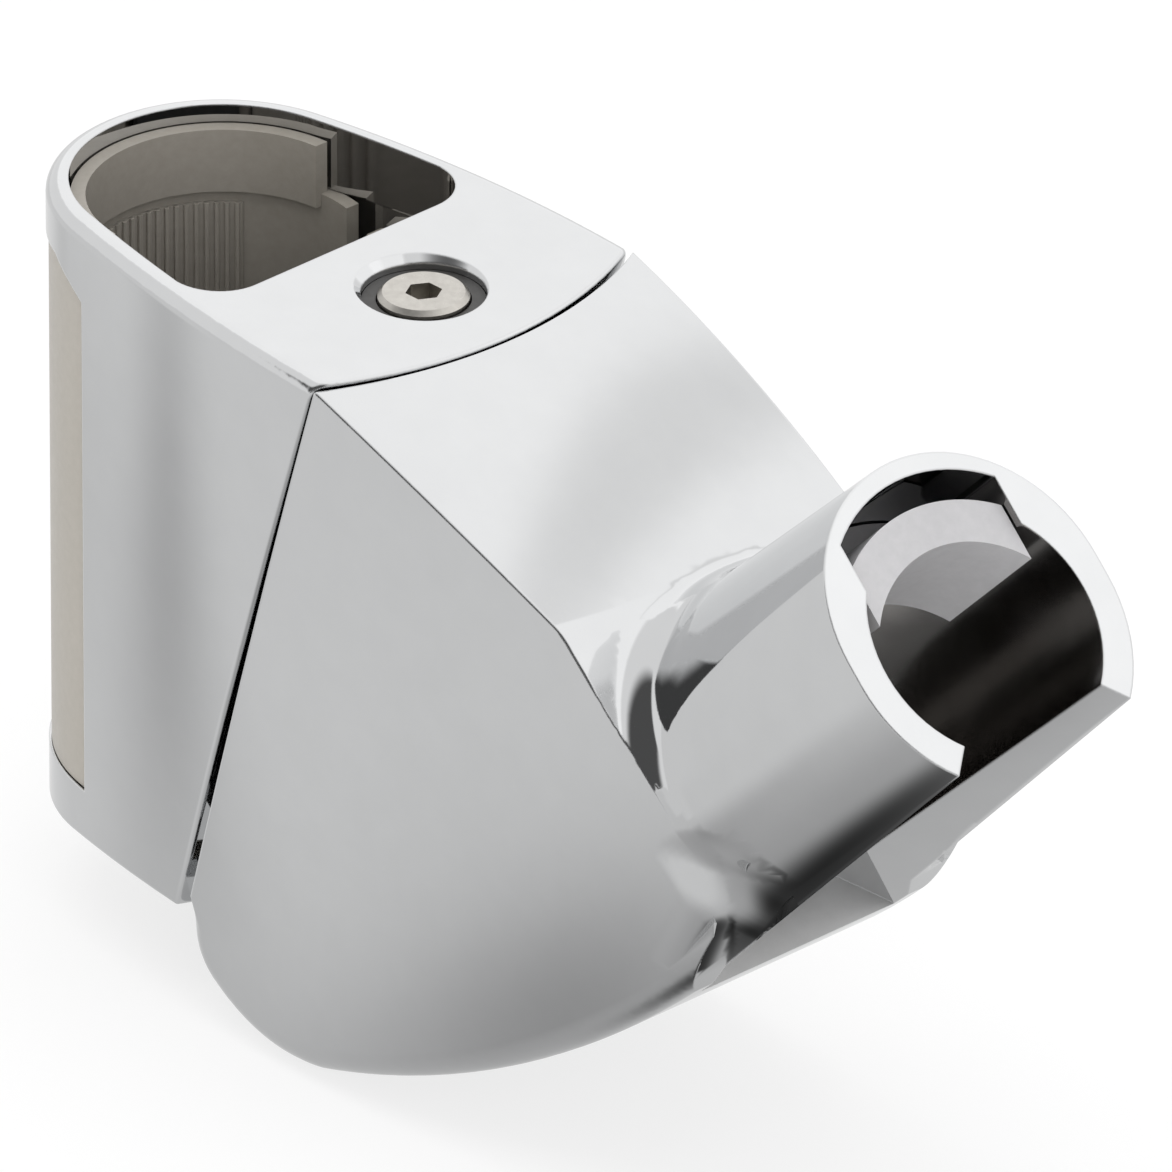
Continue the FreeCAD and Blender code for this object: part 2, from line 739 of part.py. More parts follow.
head_edge = d.head_height / 8
deck_screw = turned("deck_screw", [
    (0, -d.shank_length),
    (d.shank_radius, -d.shank_length),
    (d.shank_radius, 0),
    (d.head_radius, 0),
    (d.head_radius, d.head_height - head_edge),
    (d.head_radius - head_edge, d.head_height),
    (0, d.head_height),
], x=d.screw_x, z=well_low)


# Hexagon socket cut down from the top of a screw's head
def hex_socket(body, across, depth, top):
    sketch = body_sketch(body, f"{body.Name}_hexagon", "XY_Plane", top)
    corner_radius = across / (cosine(as_size(30)) * 2)
    corners = []
    for number in range(6):
        angle = as_size(60 * number)
        corners.append((corner_radius * cosine(angle), corner_radius * sine(angle)))
    outline(sketch, corners)
    pocket = body.newObject("PartDesign::Pocket", f"{body.Name}_socket")
    pocket.Profile = sketch
    pocket.Length = depth.number
    pocket.setExpression("Length", depth.text)


hex_socket(deck_screw, d.hex_across, d.hex_depth, d.head_height)
name_part("deck_screw", deck_screw)

insert_bore = d.shank_radius + d.fit_gap / 3
name_part("thread_insert", turned("thread_insert", [
    (insert_bore, 0),
    (d.insert_radius, 0),
    (d.insert_radius, d.insert_height),
    (insert_bore, d.insert_height),
], x=d.screw_x, z=-d.insert_top - d.insert_height))

# Mechanism block: fills the front of the housing and carries the pivot, the guide rods and the springs
block_gap = d.cavity_wall + d.fit_gap
block_back_x = d.passage_front_x + d.fit_gap
block_low = floor_top + d.fit_gap
block_high = deck_front_low - d.fit_gap
carriage_top = -d.carriage_top
carriage_low = carriage_top - d.carriage_height
stop_x = d.carriage_front_x + d.carriage_travel
pivot_z = -d.pivot_depth
cross_z = -d.cross_depth
plate_shift = d.seam_gap + d.plate_sink
lever_shift = plate_shift - d.lever_thick
slot_low = -d.lever_low - d.slide_gap * 3
rod_levels = (carriage_top - d.rod_inset, carriage_low + d.rod_inset)
spring_z = (carriage_top + carriage_low) / 2
block_room = cut(
    "block_slot",
    common(
        "block_slot_front",
        box("block_slot_box", (-reach, -d.slot_half, slot_low), (reach, d.slot_half, past)),
        plan_prism("block_slot_plan", 0, housing_far_x, slot_low, past),
    ),
    behind_seam("block_slot_back", lever_shift - d.slide_gap, d.holder_tilt),
    box("web_box", (-reach, -d.web_half, -d.web_depth), (reach, d.web_half, past)),
)
eye_room = cut(
    "eye_room",
    span_y("eye_room_round", eye_radius + d.slide_gap, d.pivot_x, pivot_z, -d.slot_half, d.slot_half),
    box("eye_room_web", (-reach, -d.web_half, -reach), (reach, d.web_half, past)),
)
nose_back_x = d.cross_x - d.cross_radius - d.nose_reach
nose_room = box(
    "nose_room",
    (-reach, -d.slot_half, cross_z - d.nose_height),
    (reach, d.slot_half, cross_z + d.nose_height),
)
block = common(
    "block_body",
    plan_prism("block_plan", block_gap, housing_far_x, block_low, block_high),
    behind_seam("block_front", -d.block_setback, d.seam_tilt),
    box("block_back", (block_back_x, -reach, -reach), (reach, reach, past)),
)
name_part("mechanism_block", cut(
    "block",
    block,
    box("block_step", (-reach, -reach, deck_low - d.fit_gap), (d.deck_step_x + d.fit_gap, reach, past)),
    box("carriage_room", (-reach, -reach, carriage_low - d.slide_gap), (stop_x, reach, carriage_top + d.slide_gap)),
    block_room,
    eye_room,
    nose_room,
    span_y("pivot_hole", d.pin_radius, d.pivot_x, pivot_z, -d.pin_half, reach),
    cylinder("insert_hole", d.insert_radius, d.insert_height, x=d.screw_x, z=-d.insert_top - d.insert_height),
    cylinder("shank_hole", shank_hole_radius, d.shank_length + past, x=d.screw_x, z=well_low - d.shank_length - bite),
    *[
        span_x(f"rod_hole_{word}_{level}", d.rod_radius, -past, d.rod_front_x, d.rod_y * side, z)
        for word, side in (("right", -1), ("left", 1))
        for level, z in enumerate(rod_levels)
    ],
))

# Pivot pin through web, lever and cheeks
name_part("pivot_pin", span_y("pin", d.pin_radius, d.pivot_x, pivot_z, -d.pin_half, d.pin_half))


def group(name, pieces):
    return fuse(name, *pieces)


name_part("guide_rods", group("rods", [
    span_x(f"rod_{word}_{level}", d.rod_radius, d.rod_back_x, d.rod_front_x, d.rod_y * side, z)
    for word, side in (("right", -1), ("left", 1))
    for level, z in enumerate(rod_levels)
]))

# Brake: a carriage on the rods, its ribbed pad on the bar and two springs behind it
pad_radius = run_radius + d.pad_thick
carriage_block = common(
    "carriage_block",
    plan_prism("carriage_plan", d.cavity_wall + d.slide_gap, housing_far_x, carriage_low, carriage_top),
    box("carriage_box", (d.carriage_back_x, -reach, -reach), (d.carriage_front_x, reach, past)),
)
fork_inner = d.nose_half + d.fork_gap
fork_outer = fork_inner + d.fork_thick
fork_half_height = d.cross_radius + d.fork_thick
fork_front_x = d.cross_x + d.cross_radius + d.fork_thick / 2
slot_rise = d.cross_radius + d.slide_gap * 2


def fork_ear(name, side):
    inner = fork_inner * side
    outer = fork_outer * side
    low_y, high_y = (inner, outer) if side > 0 else (outer, inner)
    return box(
        name,
        (d.carriage_front_x - bite, low_y, cross_z - fork_half_height),
        (fork_front_x, high_y, cross_z + fork_half_height),
    )


carriage_whole = fuse("carriage_whole", carriage_block, *both_sides("fork", fork_ear))
spring_seat_x = d.carriage_front_x - d.spring_seat
seat_radius = d.spring_radius + d.spring_wire + d.slide_gap
name_part("brake_carriage", cut(
    "carriage",
    carriage_whole,
    cylinder("pad_seat", pad_radius, d.shell_height, z=underside),
    box(
        "fork_slot",
        (d.cross_x - d.cross_radius - d.bar_gap, -fork_outer - past, cross_z - slot_rise),
        (d.cross_x + d.cross_radius + d.bar_gap, fork_outer + past, cross_z + slot_rise),
    ),
    *[
        span_x(f"rod_way_{word}_{level}", d.rod_radius + d.bar_gap, -past, reach, d.rod_y * side, z)
        for word, side in (("right", -1), ("left", 1))
        for level, z in enumerate(rod_levels)
    ],
    *both_sides("spring_seat", lambda name, side: span_x(
        name, seat_radius, spring_seat_x, reach, d.rod_y * side, spring_z,
    )),
))

pad_body = z_body("pad_body", carriage_low + d.fit_gap)
pad_end = d.pad_span / 2
brake_sketch = body_sketch(pad_body, "brake_plan", "XY_Plane")
outline(brake_sketch, [
    (pad_radius * cosine(pad_end), -(pad_radius * sine(pad_end)), pad_radius),
    (pad_radius * cosine(pad_end), pad_radius * sine(pad_end)),
    (run_radius * cosine(pad_end), run_radius * sine(pad_end), -run_radius),
    (run_radius * cosine(pad_end), -(run_radius * sine(pad_end))),
])
pad_feature(pad_body, "brake_plate", brake_sketch, d.carriage_height - d.fit_gap * 2)
name_part("brake_pad", pad_body)

spring_length = stop_x - spring_seat_x


def brake_spring(name, side):
    path = doc.addObject("Part::Helix", f"{name}_path")
    coil_height = spring_length - d.spring_wire * 2
    for key, value in (("Radius", d.spring_radius), ("Height", coil_height), ("Pitch", coil_height / d.spring_turns)):
        setattr(path, key, value.number)
        path.setExpression(key, value.text)
    path.Style = "New style"
    wire = doc.addObject("Sketcher::SketchObject", f"{name}_wire")
    wire.Placement = FreeCAD.Placement(origin, plane_turns["side"])
    ring(wire, d.spring_wire, d.spring_radius, 0)
    coil = doc.addObject("Part::Sweep", name)
    coil.Sections = [wire]
    coil.Spine = (path, ["Edge1"])
    coil.Solid = True
    coil.Frenet = False
    return place(coil, spring_seat_x + d.spring_wire, d.rod_y * side, spring_z, forward_turn)


name_part("brake_springs", group("springs", both_sides("spring", brake_spring)))

# Holder: one chromed casting of body and cup, hollow at its back
sole_depth = d.heel_depth + d.sole_depth
belly_depth = d.heel_depth + d.belly_depth
belly_end_depth = d.heel_depth + d.belly_end_depth
body_front_depth = d.heel_depth + d.body_front_depth


def set_in(x, depth, heading, inset):
    return (x - inset * sine(heading), inset * cosine(heading) - depth)


def holder_form(name, inset):
    inset = as_size(inset)
    heel = set_in(d.heel_x, d.heel_depth, -d.heel_heading, inset)
    sole = set_in(d.sole_x, sole_depth, -d.sole_heading, inset)
    belly = set_in(d.belly_x, belly_depth, d.belly_heading, inset)
    belly_end = set_in(d.belly_end_x, belly_end_depth, d.belly_end_heading, inset)
    front_x = d.top_end_x + past
    side = side_prism(f"{name}_side", [
        (heel[0], heel[1], d.heel_bend - inset),
        (sole[0], sole[1], d.sole_bend - inset),
        (belly[0], belly[1], d.belly_bend - inset),
        belly_end,
        (d.body_front_x - inset, -body_front_depth),
        (front_x, past),
        (-past, past),
        (-past, heel[1]),
    ])
    start_x = d.seam_apex_x - tangent(d.seam_tilt) * deck_fall(d.seam_apex_x)
    start_z = -deck_fall(start_x) - inset
    hub_x = d.seam_apex_x - d.seam_bend
    top_sketch = flat_sketch(f"{name}_top_profile", "side")
    outline(top_sketch, [
        (hub_x, -reach),
        (front_x, -reach),
        (front_x, -(d.top_end_depth + past + inset)),
        (d.top_end_x - inset, -d.top_end_depth),
        (d.top_turn_x - inset / 2, -d.top_turn_depth - inset, d.top_turn_bend),
        (d.top_mid_x - inset / 2, -d.top_mid_depth - inset, d.top_mid_bend),
        (start_x, start_z),
        (hub_x, start_z),
    ])
    top = doc.addObject("Part::Revolution", f"{name}_top")
    top.Source = top_sketch
    top.Axis = z_axis
    top.Base = FreeCAD.Vector(hub_x.number, 0, 0)
    top.setExpression("Base.x", hub_x.text)
    top.Angle = 180
    top.Symmetric = True
    top.Solid = True
    return common(
        name,
        plan_prism(f"{name}_plan", inset, front_x, -reach, past),
        side,
        top,
    )


cup_turn = FreeCAD.Rotation(y_axis, d.cup_lean.number)


# Puts a piece that is drawn about an upright axis on the axis of the cup, moved along that axis
def on_cup(thing, along=0):
    along = as_size(along)
    x = d.cup_x + along * sine(d.cup_lean)
    z = along * cosine(d.cup_lean) - d.cup_depth
    place(thing, x=x, z=z, turn=cup_turn)
    thing.setExpression("Placement.Rotation.Angle", d.cup_lean.text)
    return thing


def cup_sketch(name, along=0):
    return on_cup(doc.addObject("Sketcher::SketchObject", name), along)


def cup_prism(name, corners, along, length):
    sketch = cup_sketch(f"{name}_outline", along)
    outline(sketch, corners)
    return extrude(name, sketch, (sine(d.cup_lean), 0, cosine(d.cup_lean)), length)


# The cup's outside is round in front and drawn out towards the bar
def cup_oval(name, radius, along):
    sketch = cup_sketch(name, along)
    back_x = -d.cup_back_extra
    outline(sketch, [
        (0, -radius, radius),
        (radius, 0, radius),
        (0, radius),
        (back_x, radius, radius),
        (back_x - radius, 0, radius),
        (back_x, -radius),
    ])
    return sketch


def underside_radius(middle, edge):
    at_flank = abs(middle.y) > half_width.number / 2
    below = middle.z < -d.heel_depth.number or (middle.x > d.belly_x.number and middle.z < -belly_end_depth.number)
    off_seam = abs(middle.x - d.wide_x.number) > edge_margin
    if at_flank and below and off_seam and middle.x < d.belly_end_x.number:
        return d.underside_round
    return None


def crease_radius(middle, edge):
    at_flank = abs(middle.y) > half_width.number / 2
    on_crease = d.wide_x.number + edge_margin < middle.x < d.body_front_x.number - past
    if at_flank and on_crease and middle.z > -d.top_end_depth.number:
        return d.crease_round
    return None


mouth_radius = d.cup_radius + d.cup_wall
root_radius = mouth_radius + d.cup_flare
cup_outside = doc.addObject("Part::Loft", "cup_outside")
cup_outside.Sections = [
    cup_oval("cup_mouth_oval", mouth_radius, 0),
    cup_oval("cup_root_oval", root_radius, -d.cup_length),
]
cup_outside.Solid = True
cup_outside.Ruled = True
holder_gap = behind_seam("holder_gap", d.seam_gap, d.holder_tilt)
body_block = cut("body_block", holder_form("body_form", 0), holder_gap)
body_under = round_edges("body_under", body_block, underside_radius)
body_round = round_edges("body_round", body_under, crease_radius)
bore = on_cup(cylinder(
    "bore", d.cup_low_radius, d.cup_bore, second_radius=d.cup_radius,
), -d.cup_bore)
bore_mouth = on_cup(cylinder("bore_mouth", d.cup_radius, past), 0)
half_slot = d.slot_angle / 2
slot_run = root_radius * 2
hose_slot = cup_prism("hose_slot", [
    (0, 0),
    (slot_run * cosine(half_slot), -(slot_run * sine(half_slot))),
    (slot_run * cosine(half_slot), slot_run * sine(half_slot)),
], -d.hose_slot_length, d.hose_slot_length + past)
pocket_edge_x = -root(d.pocket_radius * d.pocket_radius - d.pocket_half * d.pocket_half)
clip_pocket = cup_prism("clip_pocket", [
    (0, -d.pocket_half),
    (0, d.pocket_half),
    (pocket_edge_x, d.pocket_half, d.pocket_radius),
    (pocket_edge_x, -d.pocket_half),
], -d.pocket_depth, d.pocket_depth + past)
cavity_back_x = -mouth_radius - d.cup_back_extra
cavity_front = cup_prism("cavity_front", [
    (cavity_back_x, -reach),
    (reach, -reach),
    (reach, reach),
    (cavity_back_x, reach),
], -d.cup_bore - d.holder_wall, reach)
cavity = cut("holder_cavity", holder_form("cavity_form", d.holder_wall), cavity_front)
plate_levels = (-d.pivot_depth - d.lever_thick, -d.heel_depth + d.holder_wall * 2)
sink_radius = d.plate_screw_head + d.fit_gap
lean_turn = FreeCAD.Rotation(y_axis, 90 + d.holder_tilt.number)
screw_levels = (plate_levels[0] - sink_radius, plate_levels[1] + sink_radius)


# A round piece square to the holder's back, near one corner of the back plate
def along_plate(name, radius, level, side, start, length):
    bend = d.seam_bend
    hub = d.seam_apex_x + d.seam_gap - bend
    back_x = hub + root(bend * bend - d.plate_screw_y * d.plate_screw_y) + level * tangent(d.holder_tilt)
    x = back_x + start * cosine(d.holder_tilt)
    z = level - start * sine(d.holder_tilt)
    piece = cylinder(name, radius, length, x=x, y=d.plate_screw_y * side, z=z, turn=lean_turn)
    piece.setExpression("Placement.Rotation.Angle", (d.holder_tilt + 90).text)
    return piece


def each_plate_screw(name, make):
    return [
        make(f"{name}_{word}_{row}", level, side)
        for word, side in (("right", -1), ("left", 1))
        for row, level in enumerate(screw_levels)
    ]


head_room = d.plate_screw_head / 2
plate_back = d.plate_sink * cosine(d.holder_tilt)
plate_front = (d.plate_sink + d.plate_thick) * cosine(d.holder_tilt)
boss_length = d.plate_screw_length + d.plate_thick
plate_front_face = behind_seam("plate_front_face", plate_shift + d.plate_thick, d.holder_tilt)
whole = fuse("holder_whole", body_round, cup_outside)
hollow = cut("holder_hollow", whole, cavity)
boss_rods = fuse("boss_rods", *each_plate_screw("boss", lambda name, level, side: along_plate(
    name, d.plate_boss, level, side, plate_back, boss_length,
)))
bosses = cut("plate_bosses", common("boss_ends", boss_rods, body_round), plate_front_face)
holder_bossed = fuse("holder_bossed", hollow, bosses)
name_part("holder_shell", cut(
    "holder",
    holder_bossed,
    bore,
    bore_mouth,
    hose_slot,
    clip_pocket,
    *each_plate_screw("pilot", lambda name, level, side: along_plate(
        name, d.plate_screw_radius, level, side, plate_back, d.plate_screw_length,
    )),
))

# Lever plate: closes the holder's back, reaches round the web to the pivot and pushes the brake
lever_outer = d.slot_half - d.lever_gap
lever_inner = d.web_half + d.lever_gap
plate_slab = cut(
    "plate_slab",
    plate_front_face,
    behind_seam("plate_back_face", plate_shift, d.holder_tilt),
)
lever_slab = cut(
    "lever_slab",
    behind_seam("lever_front_face", plate_shift + d.plate_thick / 2, d.holder_tilt),
    behind_seam("lever_back_face", lever_shift, d.holder_tilt),
)


def arm_box(name, side):
    low_y, high_y = (lever_inner, lever_outer) if side > 0 else (-lever_outer, -lever_inner)
    return box(name, (-reach, low_y, -d.lever_join - bite), (reach, high_y, -d.lever_top))


def arm_round(name, radius, side):
    low_y, high_y = (lever_inner, lever_outer) if side > 0 else (-lever_outer, -lever_inner)
    return span_y(name, radius, d.pivot_x, pivot_z, low_y, high_y)


def fork_pocket(name, side):
    inner = (fork_inner - d.fork_gap / 2) * side
    outer = (fork_outer + d.fork_gap) * side
    low_y, high_y = (inner, outer) if side > 0 else (outer, inner)
    room = fork_half_height + d.cross_radius
    return box(
        name,
        (-reach, low_y, cross_z - room),
        (fork_front_x + d.fork_gap * 2, high_y, cross_z + room),
    )


lever = common(
    "lever",
    lever_slab,
    fuse(
        "lever_boxes",
        box("lever_middle", (-reach, -lever_outer, -d.lever_low), (reach, lever_outer, -d.lever_join)),
        *both_sides("lever_arm", arm_box),
    ),
)
nose = box(
    "lever_nose",
    (nose_back_x, -d.nose_half, cross_z - d.nose_height / 2),
    (d.cross_x + d.lever_thick, d.nose_half, cross_z + d.nose_height / 2),
)
plate = common(
    "plate",
    plate_slab,
    holder_form("plate_form", d.holder_wall + d.slide_gap),
    box("plate_box", (-reach, -reach, -d.heel_depth), (reach, reach, past)),
)
name_part("lever_plate", cut(
    "lever_plate_body",
    fuse(
        "lever_whole", plate, nose,
        cut("lever_forked", lever, *both_sides("fork_pocket", fork_pocket)),
        *both_sides("eye", lambda name, side: arm_round(name, eye_radius, side)),
    ),
    span_y("bush_hole", bush_radius, d.pivot_x, pivot_z, -reach, reach),
    span_y("cross_hole", d.cross_radius, d.cross_x, cross_z, -reach, reach),
    *each_plate_screw("plate_hole", lambda name, level, side: along_plate(
        name, d.plate_screw_radius, level, side, -plate_front, plate_front * 3,
    )),
    *each_plate_screw("plate_sink", lambda name, level, side: along_plate(
        name, sink_radius, level, side, -plate_front, plate_front + plate_back + head_room,
    )),
))

name_part("plate_screws", group("screws", each_plate_screw("plate_screw", lambda name, level, side: fuse(
    name,
    along_plate(f"{name}_shank", d.plate_screw_radius, level, side, plate_back, d.plate_screw_length),
    along_plate(f"{name}_head", d.plate_screw_head, level, side, plate_back, head_room),
))))

pin_run = d.pin_radius + d.bar_gap
name_part("lever_bushes", cut(
    "bushes",
    group("bush_rounds", both_sides("bush", lambda name, side: arm_round(name, bush_radius, side))),
    span_y("bush_bore", pin_run, d.pivot_x, pivot_z, -reach, reach),
))

fork_end = fork_outer + d.fork_gap / 2
name_part("cross_pin", span_y("cross", d.cross_radius, d.cross_x, cross_z, -fork_end, fork_end))

# Clip of the cup: a plastic crescent with a foot at the bottom of its pocket
clip_half = d.pocket_half - d.fit_gap
clip_outer_x = d.clip_shift - root(d.clip_outer_bend * d.clip_outer_bend - clip_half * clip_half)
clip_inner_x = d.clip_shift - root(d.clip_inner_bend * d.clip_inner_bend - clip_half * clip_half)
foot_bend = d.pocket_radius - d.fit_gap
foot_x = -root(foot_bend * foot_bend - clip_half * clip_half)
clip_low = d.fit_gap / 3 - d.pocket_depth
name_part("cup_clip", fuse(
    "clip",
    cup_prism("clip_leaf", [
        (clip_outer_x, clip_half, d.clip_outer_bend),
        (clip_outer_x, -clip_half),
        (clip_inner_x, -clip_half, -d.clip_inner_bend),
        (clip_inner_x, clip_half),
    ], clip_low, -d.clip_top - clip_low),
    cup_prism("clip_foot", [
        (foot_x, clip_half, foot_bend),
        (foot_x, -clip_half),
        (clip_inner_x, -clip_half, -d.clip_inner_bend),
        (clip_inner_x, clip_half),
    ], clip_low, d.clip_foot),
))

# Every object and shape is checked before anything is written
doc.recompute()
for thing in doc.Objects:
    if "Invalid" in thing.State or "Error" in thing.State:
        raise RuntimeError(f"{thing.Label} failed")
for thing in sub_parts:
    if thing.Shape.isNull() or not thing.Shape.isValid():
        raise RuntimeError(f"{thing.Label} has no valid shape")
for thing in sub_parts:
    thing.Shape.exportStep(os.path.join("parts", f"{thing.Label}.step"))
print(f"{len(sub_parts)} sub-parts written")
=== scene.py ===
import math

import bmesh
import bpy
import numpy as np
from mathutils import Matrix, Vector


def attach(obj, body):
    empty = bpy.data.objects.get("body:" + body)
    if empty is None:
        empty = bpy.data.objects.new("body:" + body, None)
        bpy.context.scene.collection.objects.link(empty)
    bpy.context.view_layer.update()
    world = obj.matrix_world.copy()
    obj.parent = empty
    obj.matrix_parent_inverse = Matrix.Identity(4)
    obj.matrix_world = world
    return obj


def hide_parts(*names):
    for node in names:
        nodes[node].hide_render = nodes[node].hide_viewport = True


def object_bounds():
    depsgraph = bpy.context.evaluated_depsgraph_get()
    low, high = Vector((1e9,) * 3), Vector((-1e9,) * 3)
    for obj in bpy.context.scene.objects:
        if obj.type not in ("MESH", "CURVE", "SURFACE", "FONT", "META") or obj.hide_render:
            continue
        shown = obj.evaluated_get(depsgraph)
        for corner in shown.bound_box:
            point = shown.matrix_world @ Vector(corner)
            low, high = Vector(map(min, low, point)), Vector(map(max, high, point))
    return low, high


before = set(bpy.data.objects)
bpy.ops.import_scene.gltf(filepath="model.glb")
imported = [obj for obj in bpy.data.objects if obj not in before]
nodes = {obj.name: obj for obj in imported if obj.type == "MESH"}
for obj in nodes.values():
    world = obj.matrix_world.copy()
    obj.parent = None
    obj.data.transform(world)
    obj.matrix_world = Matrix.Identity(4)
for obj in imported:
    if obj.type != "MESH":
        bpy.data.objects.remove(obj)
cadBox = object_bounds()
scene = bpy.context.scene
print("frame loaded")

# Camera: nearly parallel view, from the front right and a little above
cameraSettings = {
    "azimuth": 46.6,
    "elevation": 28.2,
    "distance": 4.0,
    "frameWidth": 0.1066,
    "target": (0.04835, 0.0, -0.0238),
    "sensor": 36.0,
}


def addCamera(settings):
    camera = bpy.data.cameras.new("camera")
    camera.sensor_width = settings["sensor"]
    camera.lens = settings["sensor"] * settings["distance"] / settings["frameWidth"]
    camera.clip_end = 20
    holder = bpy.data.objects.new("camera", camera)
    scene.collection.objects.link(holder)
    turn = math.radians(settings["azimuth"])
    rise = math.radians(settings["elevation"])
    towardsCamera = Vector((
        math.sin(turn) * math.cos(rise), -math.cos(turn) * math.cos(rise), math.sin(rise),
    ))
    holder.location = Vector(settings["target"]) + towardsCamera * settings["distance"]
    holder.rotation_euler = towardsCamera.to_track_quat("Z", "Y").to_euler()
    scene.camera = holder


addCamera(cameraSettings)
print("camera set")


# Node helpers
def setInputs(node, **values):
    for name, value in values.items():
        node.inputs[name.replace("_", " ")].default_value = value


def newNode(tree, kind, x, y, **settings):
    node = tree.nodes.new(kind)
    node.location = (x, y)
    for name, value in settings.items():
        setattr(node, name, value)
    return node


# Shared effect: fine unevenness of a surface, given as a mask, a height and a change of tone
def makeFineGrain():
    group = bpy.data.node_groups.new("fineGrain", "ShaderNodeTree")
    face = group.interface
    scale = face.new_socket("Scale", in_out="INPUT", socket_type="NodeSocketFloat")
    scale.default_value = 400
    stretch = face.new_socket("Stretch", in_out="INPUT", socket_type="NodeSocketVector")
    stretch.default_value = (1, 1, 1)
    low = face.new_socket("Low", in_out="INPUT", socket_type="NodeSocketFloat")
    low.default_value = 0.2
    high = face.new_socket("High", in_out="INPUT", socket_type="NodeSocketFloat")
    high.default_value = 0.4
    face.new_socket("Value", in_out="OUTPUT", socket_type="NodeSocketFloat")
    face.new_socket("Height", in_out="OUTPUT", socket_type="NodeSocketFloat")
    start = newNode(group, "NodeGroupInput", -900, 0)
    place = newNode(group, "ShaderNodeTexCoord", -900, 250)
    spread = newNode(group, "ShaderNodeVectorMath", -700, 150, operation="MULTIPLY")
    fine = newNode(group, "ShaderNodeTexNoise", -500, 200)
    setInputs(fine, Detail=3, Roughness=0.6)
    broad = newNode(group, "ShaderNodeTexNoise", -500, -100)
    setInputs(broad, Scale=35, Detail=2)
    mixed = newNode(group, "ShaderNodeMath", -280, 60, operation="MULTIPLY_ADD")
    mixed.inputs[1].default_value = 0.5
    halfBroad = newNode(group, "ShaderNodeMath", -280, -100, operation="MULTIPLY")
    halfBroad.inputs[1].default_value = 0.5
    ranged = newNode(group, "ShaderNodeMapRange", -80, 60)
    setInputs(ranged, From_Min=0.3, From_Max=0.7)
    end = newNode(group, "NodeGroupOutput", 150, 0)
    links = group.links
    links.new(place.outputs["Object"], spread.inputs[0])
    links.new(start.outputs["Stretch"], spread.inputs[1])
    links.new(spread.outputs[0], fine.inputs["Vector"])
    links.new(start.outputs["Scale"], fine.inputs["Scale"])
    links.new(place.outputs["Object"], broad.inputs["Vector"])
    links.new(broad.outputs[0], halfBroad.inputs[0])
    links.new(fine.outputs[0], mixed.inputs[0])
    links.new(halfBroad.outputs[0], mixed.inputs[2])
    links.new(mixed.outputs[0], ranged.inputs["Value"])
    links.new(start.outputs["Low"], ranged.inputs["To Min"])
    links.new(start.outputs["High"], ranged.inputs["To Max"])
    links.new(ranged.outputs["Result"], end.inputs["Value"])
    links.new(fine.outputs[0], end.inputs["Height"])
    return group


fineGrain = makeFineGrain()


def makeMaterial(name, look):
    material = bpy.data.materials.new(name)
    material.use_nodes = True
    tree = material.node_tree
    shader = tree.nodes["Principled BSDF"]
    setInputs(shader, Metallic=look.get("metallic", 0.0), IOR=look.get("ior", 1.45))
    if "specular" in look:
        setInputs(shader, Specular_IOR_Level=look["specular"])
    grain = newNode(tree, "ShaderNodeGroup", -500, -100, node_tree=fineGrain)
    setInputs(grain, Scale=look["grainScale"], Stretch=look.get("stretch", (1, 1, 1)))
    setInputs(grain, Low=look["roughness"][0], High=look["roughness"][1])
    tone = newNode(tree, "ShaderNodeGroup", -500, 150, node_tree=fineGrain)
    setInputs(tone, Scale=look["grainScale"] * 0.7, Stretch=look.get("stretch", (1, 1, 1)), Low=0.0, High=1.0)
    mix = newNode(tree, "ShaderNodeMix", -250, 150, data_type="RGBA")
    mix.inputs[6].default_value = (*look["darkColour"], 1)
    mix.inputs[7].default_value = (*look["lightColour"], 1)
    bump = newNode(tree, "ShaderNodeBump", -250, -150)
    setInputs(bump, Strength=look["bump"], Distance=look["bumpDepth"])
    links = tree.links
    links.new(tone.outputs["Value"], mix.inputs[0])
    links.new(mix.outputs[2], shader.inputs["Base Color"])
    links.new(grain.outputs["Value"], shader.inputs["Roughness"])
    links.new(grain.outputs["Height"], bump.inputs["Height"])
    if "edgeRound" in look:
        rounded = newNode(tree, "ShaderNodeBevel", -500, -350, samples=6)
        setInputs(rounded, Radius=look["edgeRound"])
        links.new(rounded.outputs[0], bump.inputs["Normal"])
    links.new(bump.outputs["Normal"], shader.inputs["Normal"])
    return material


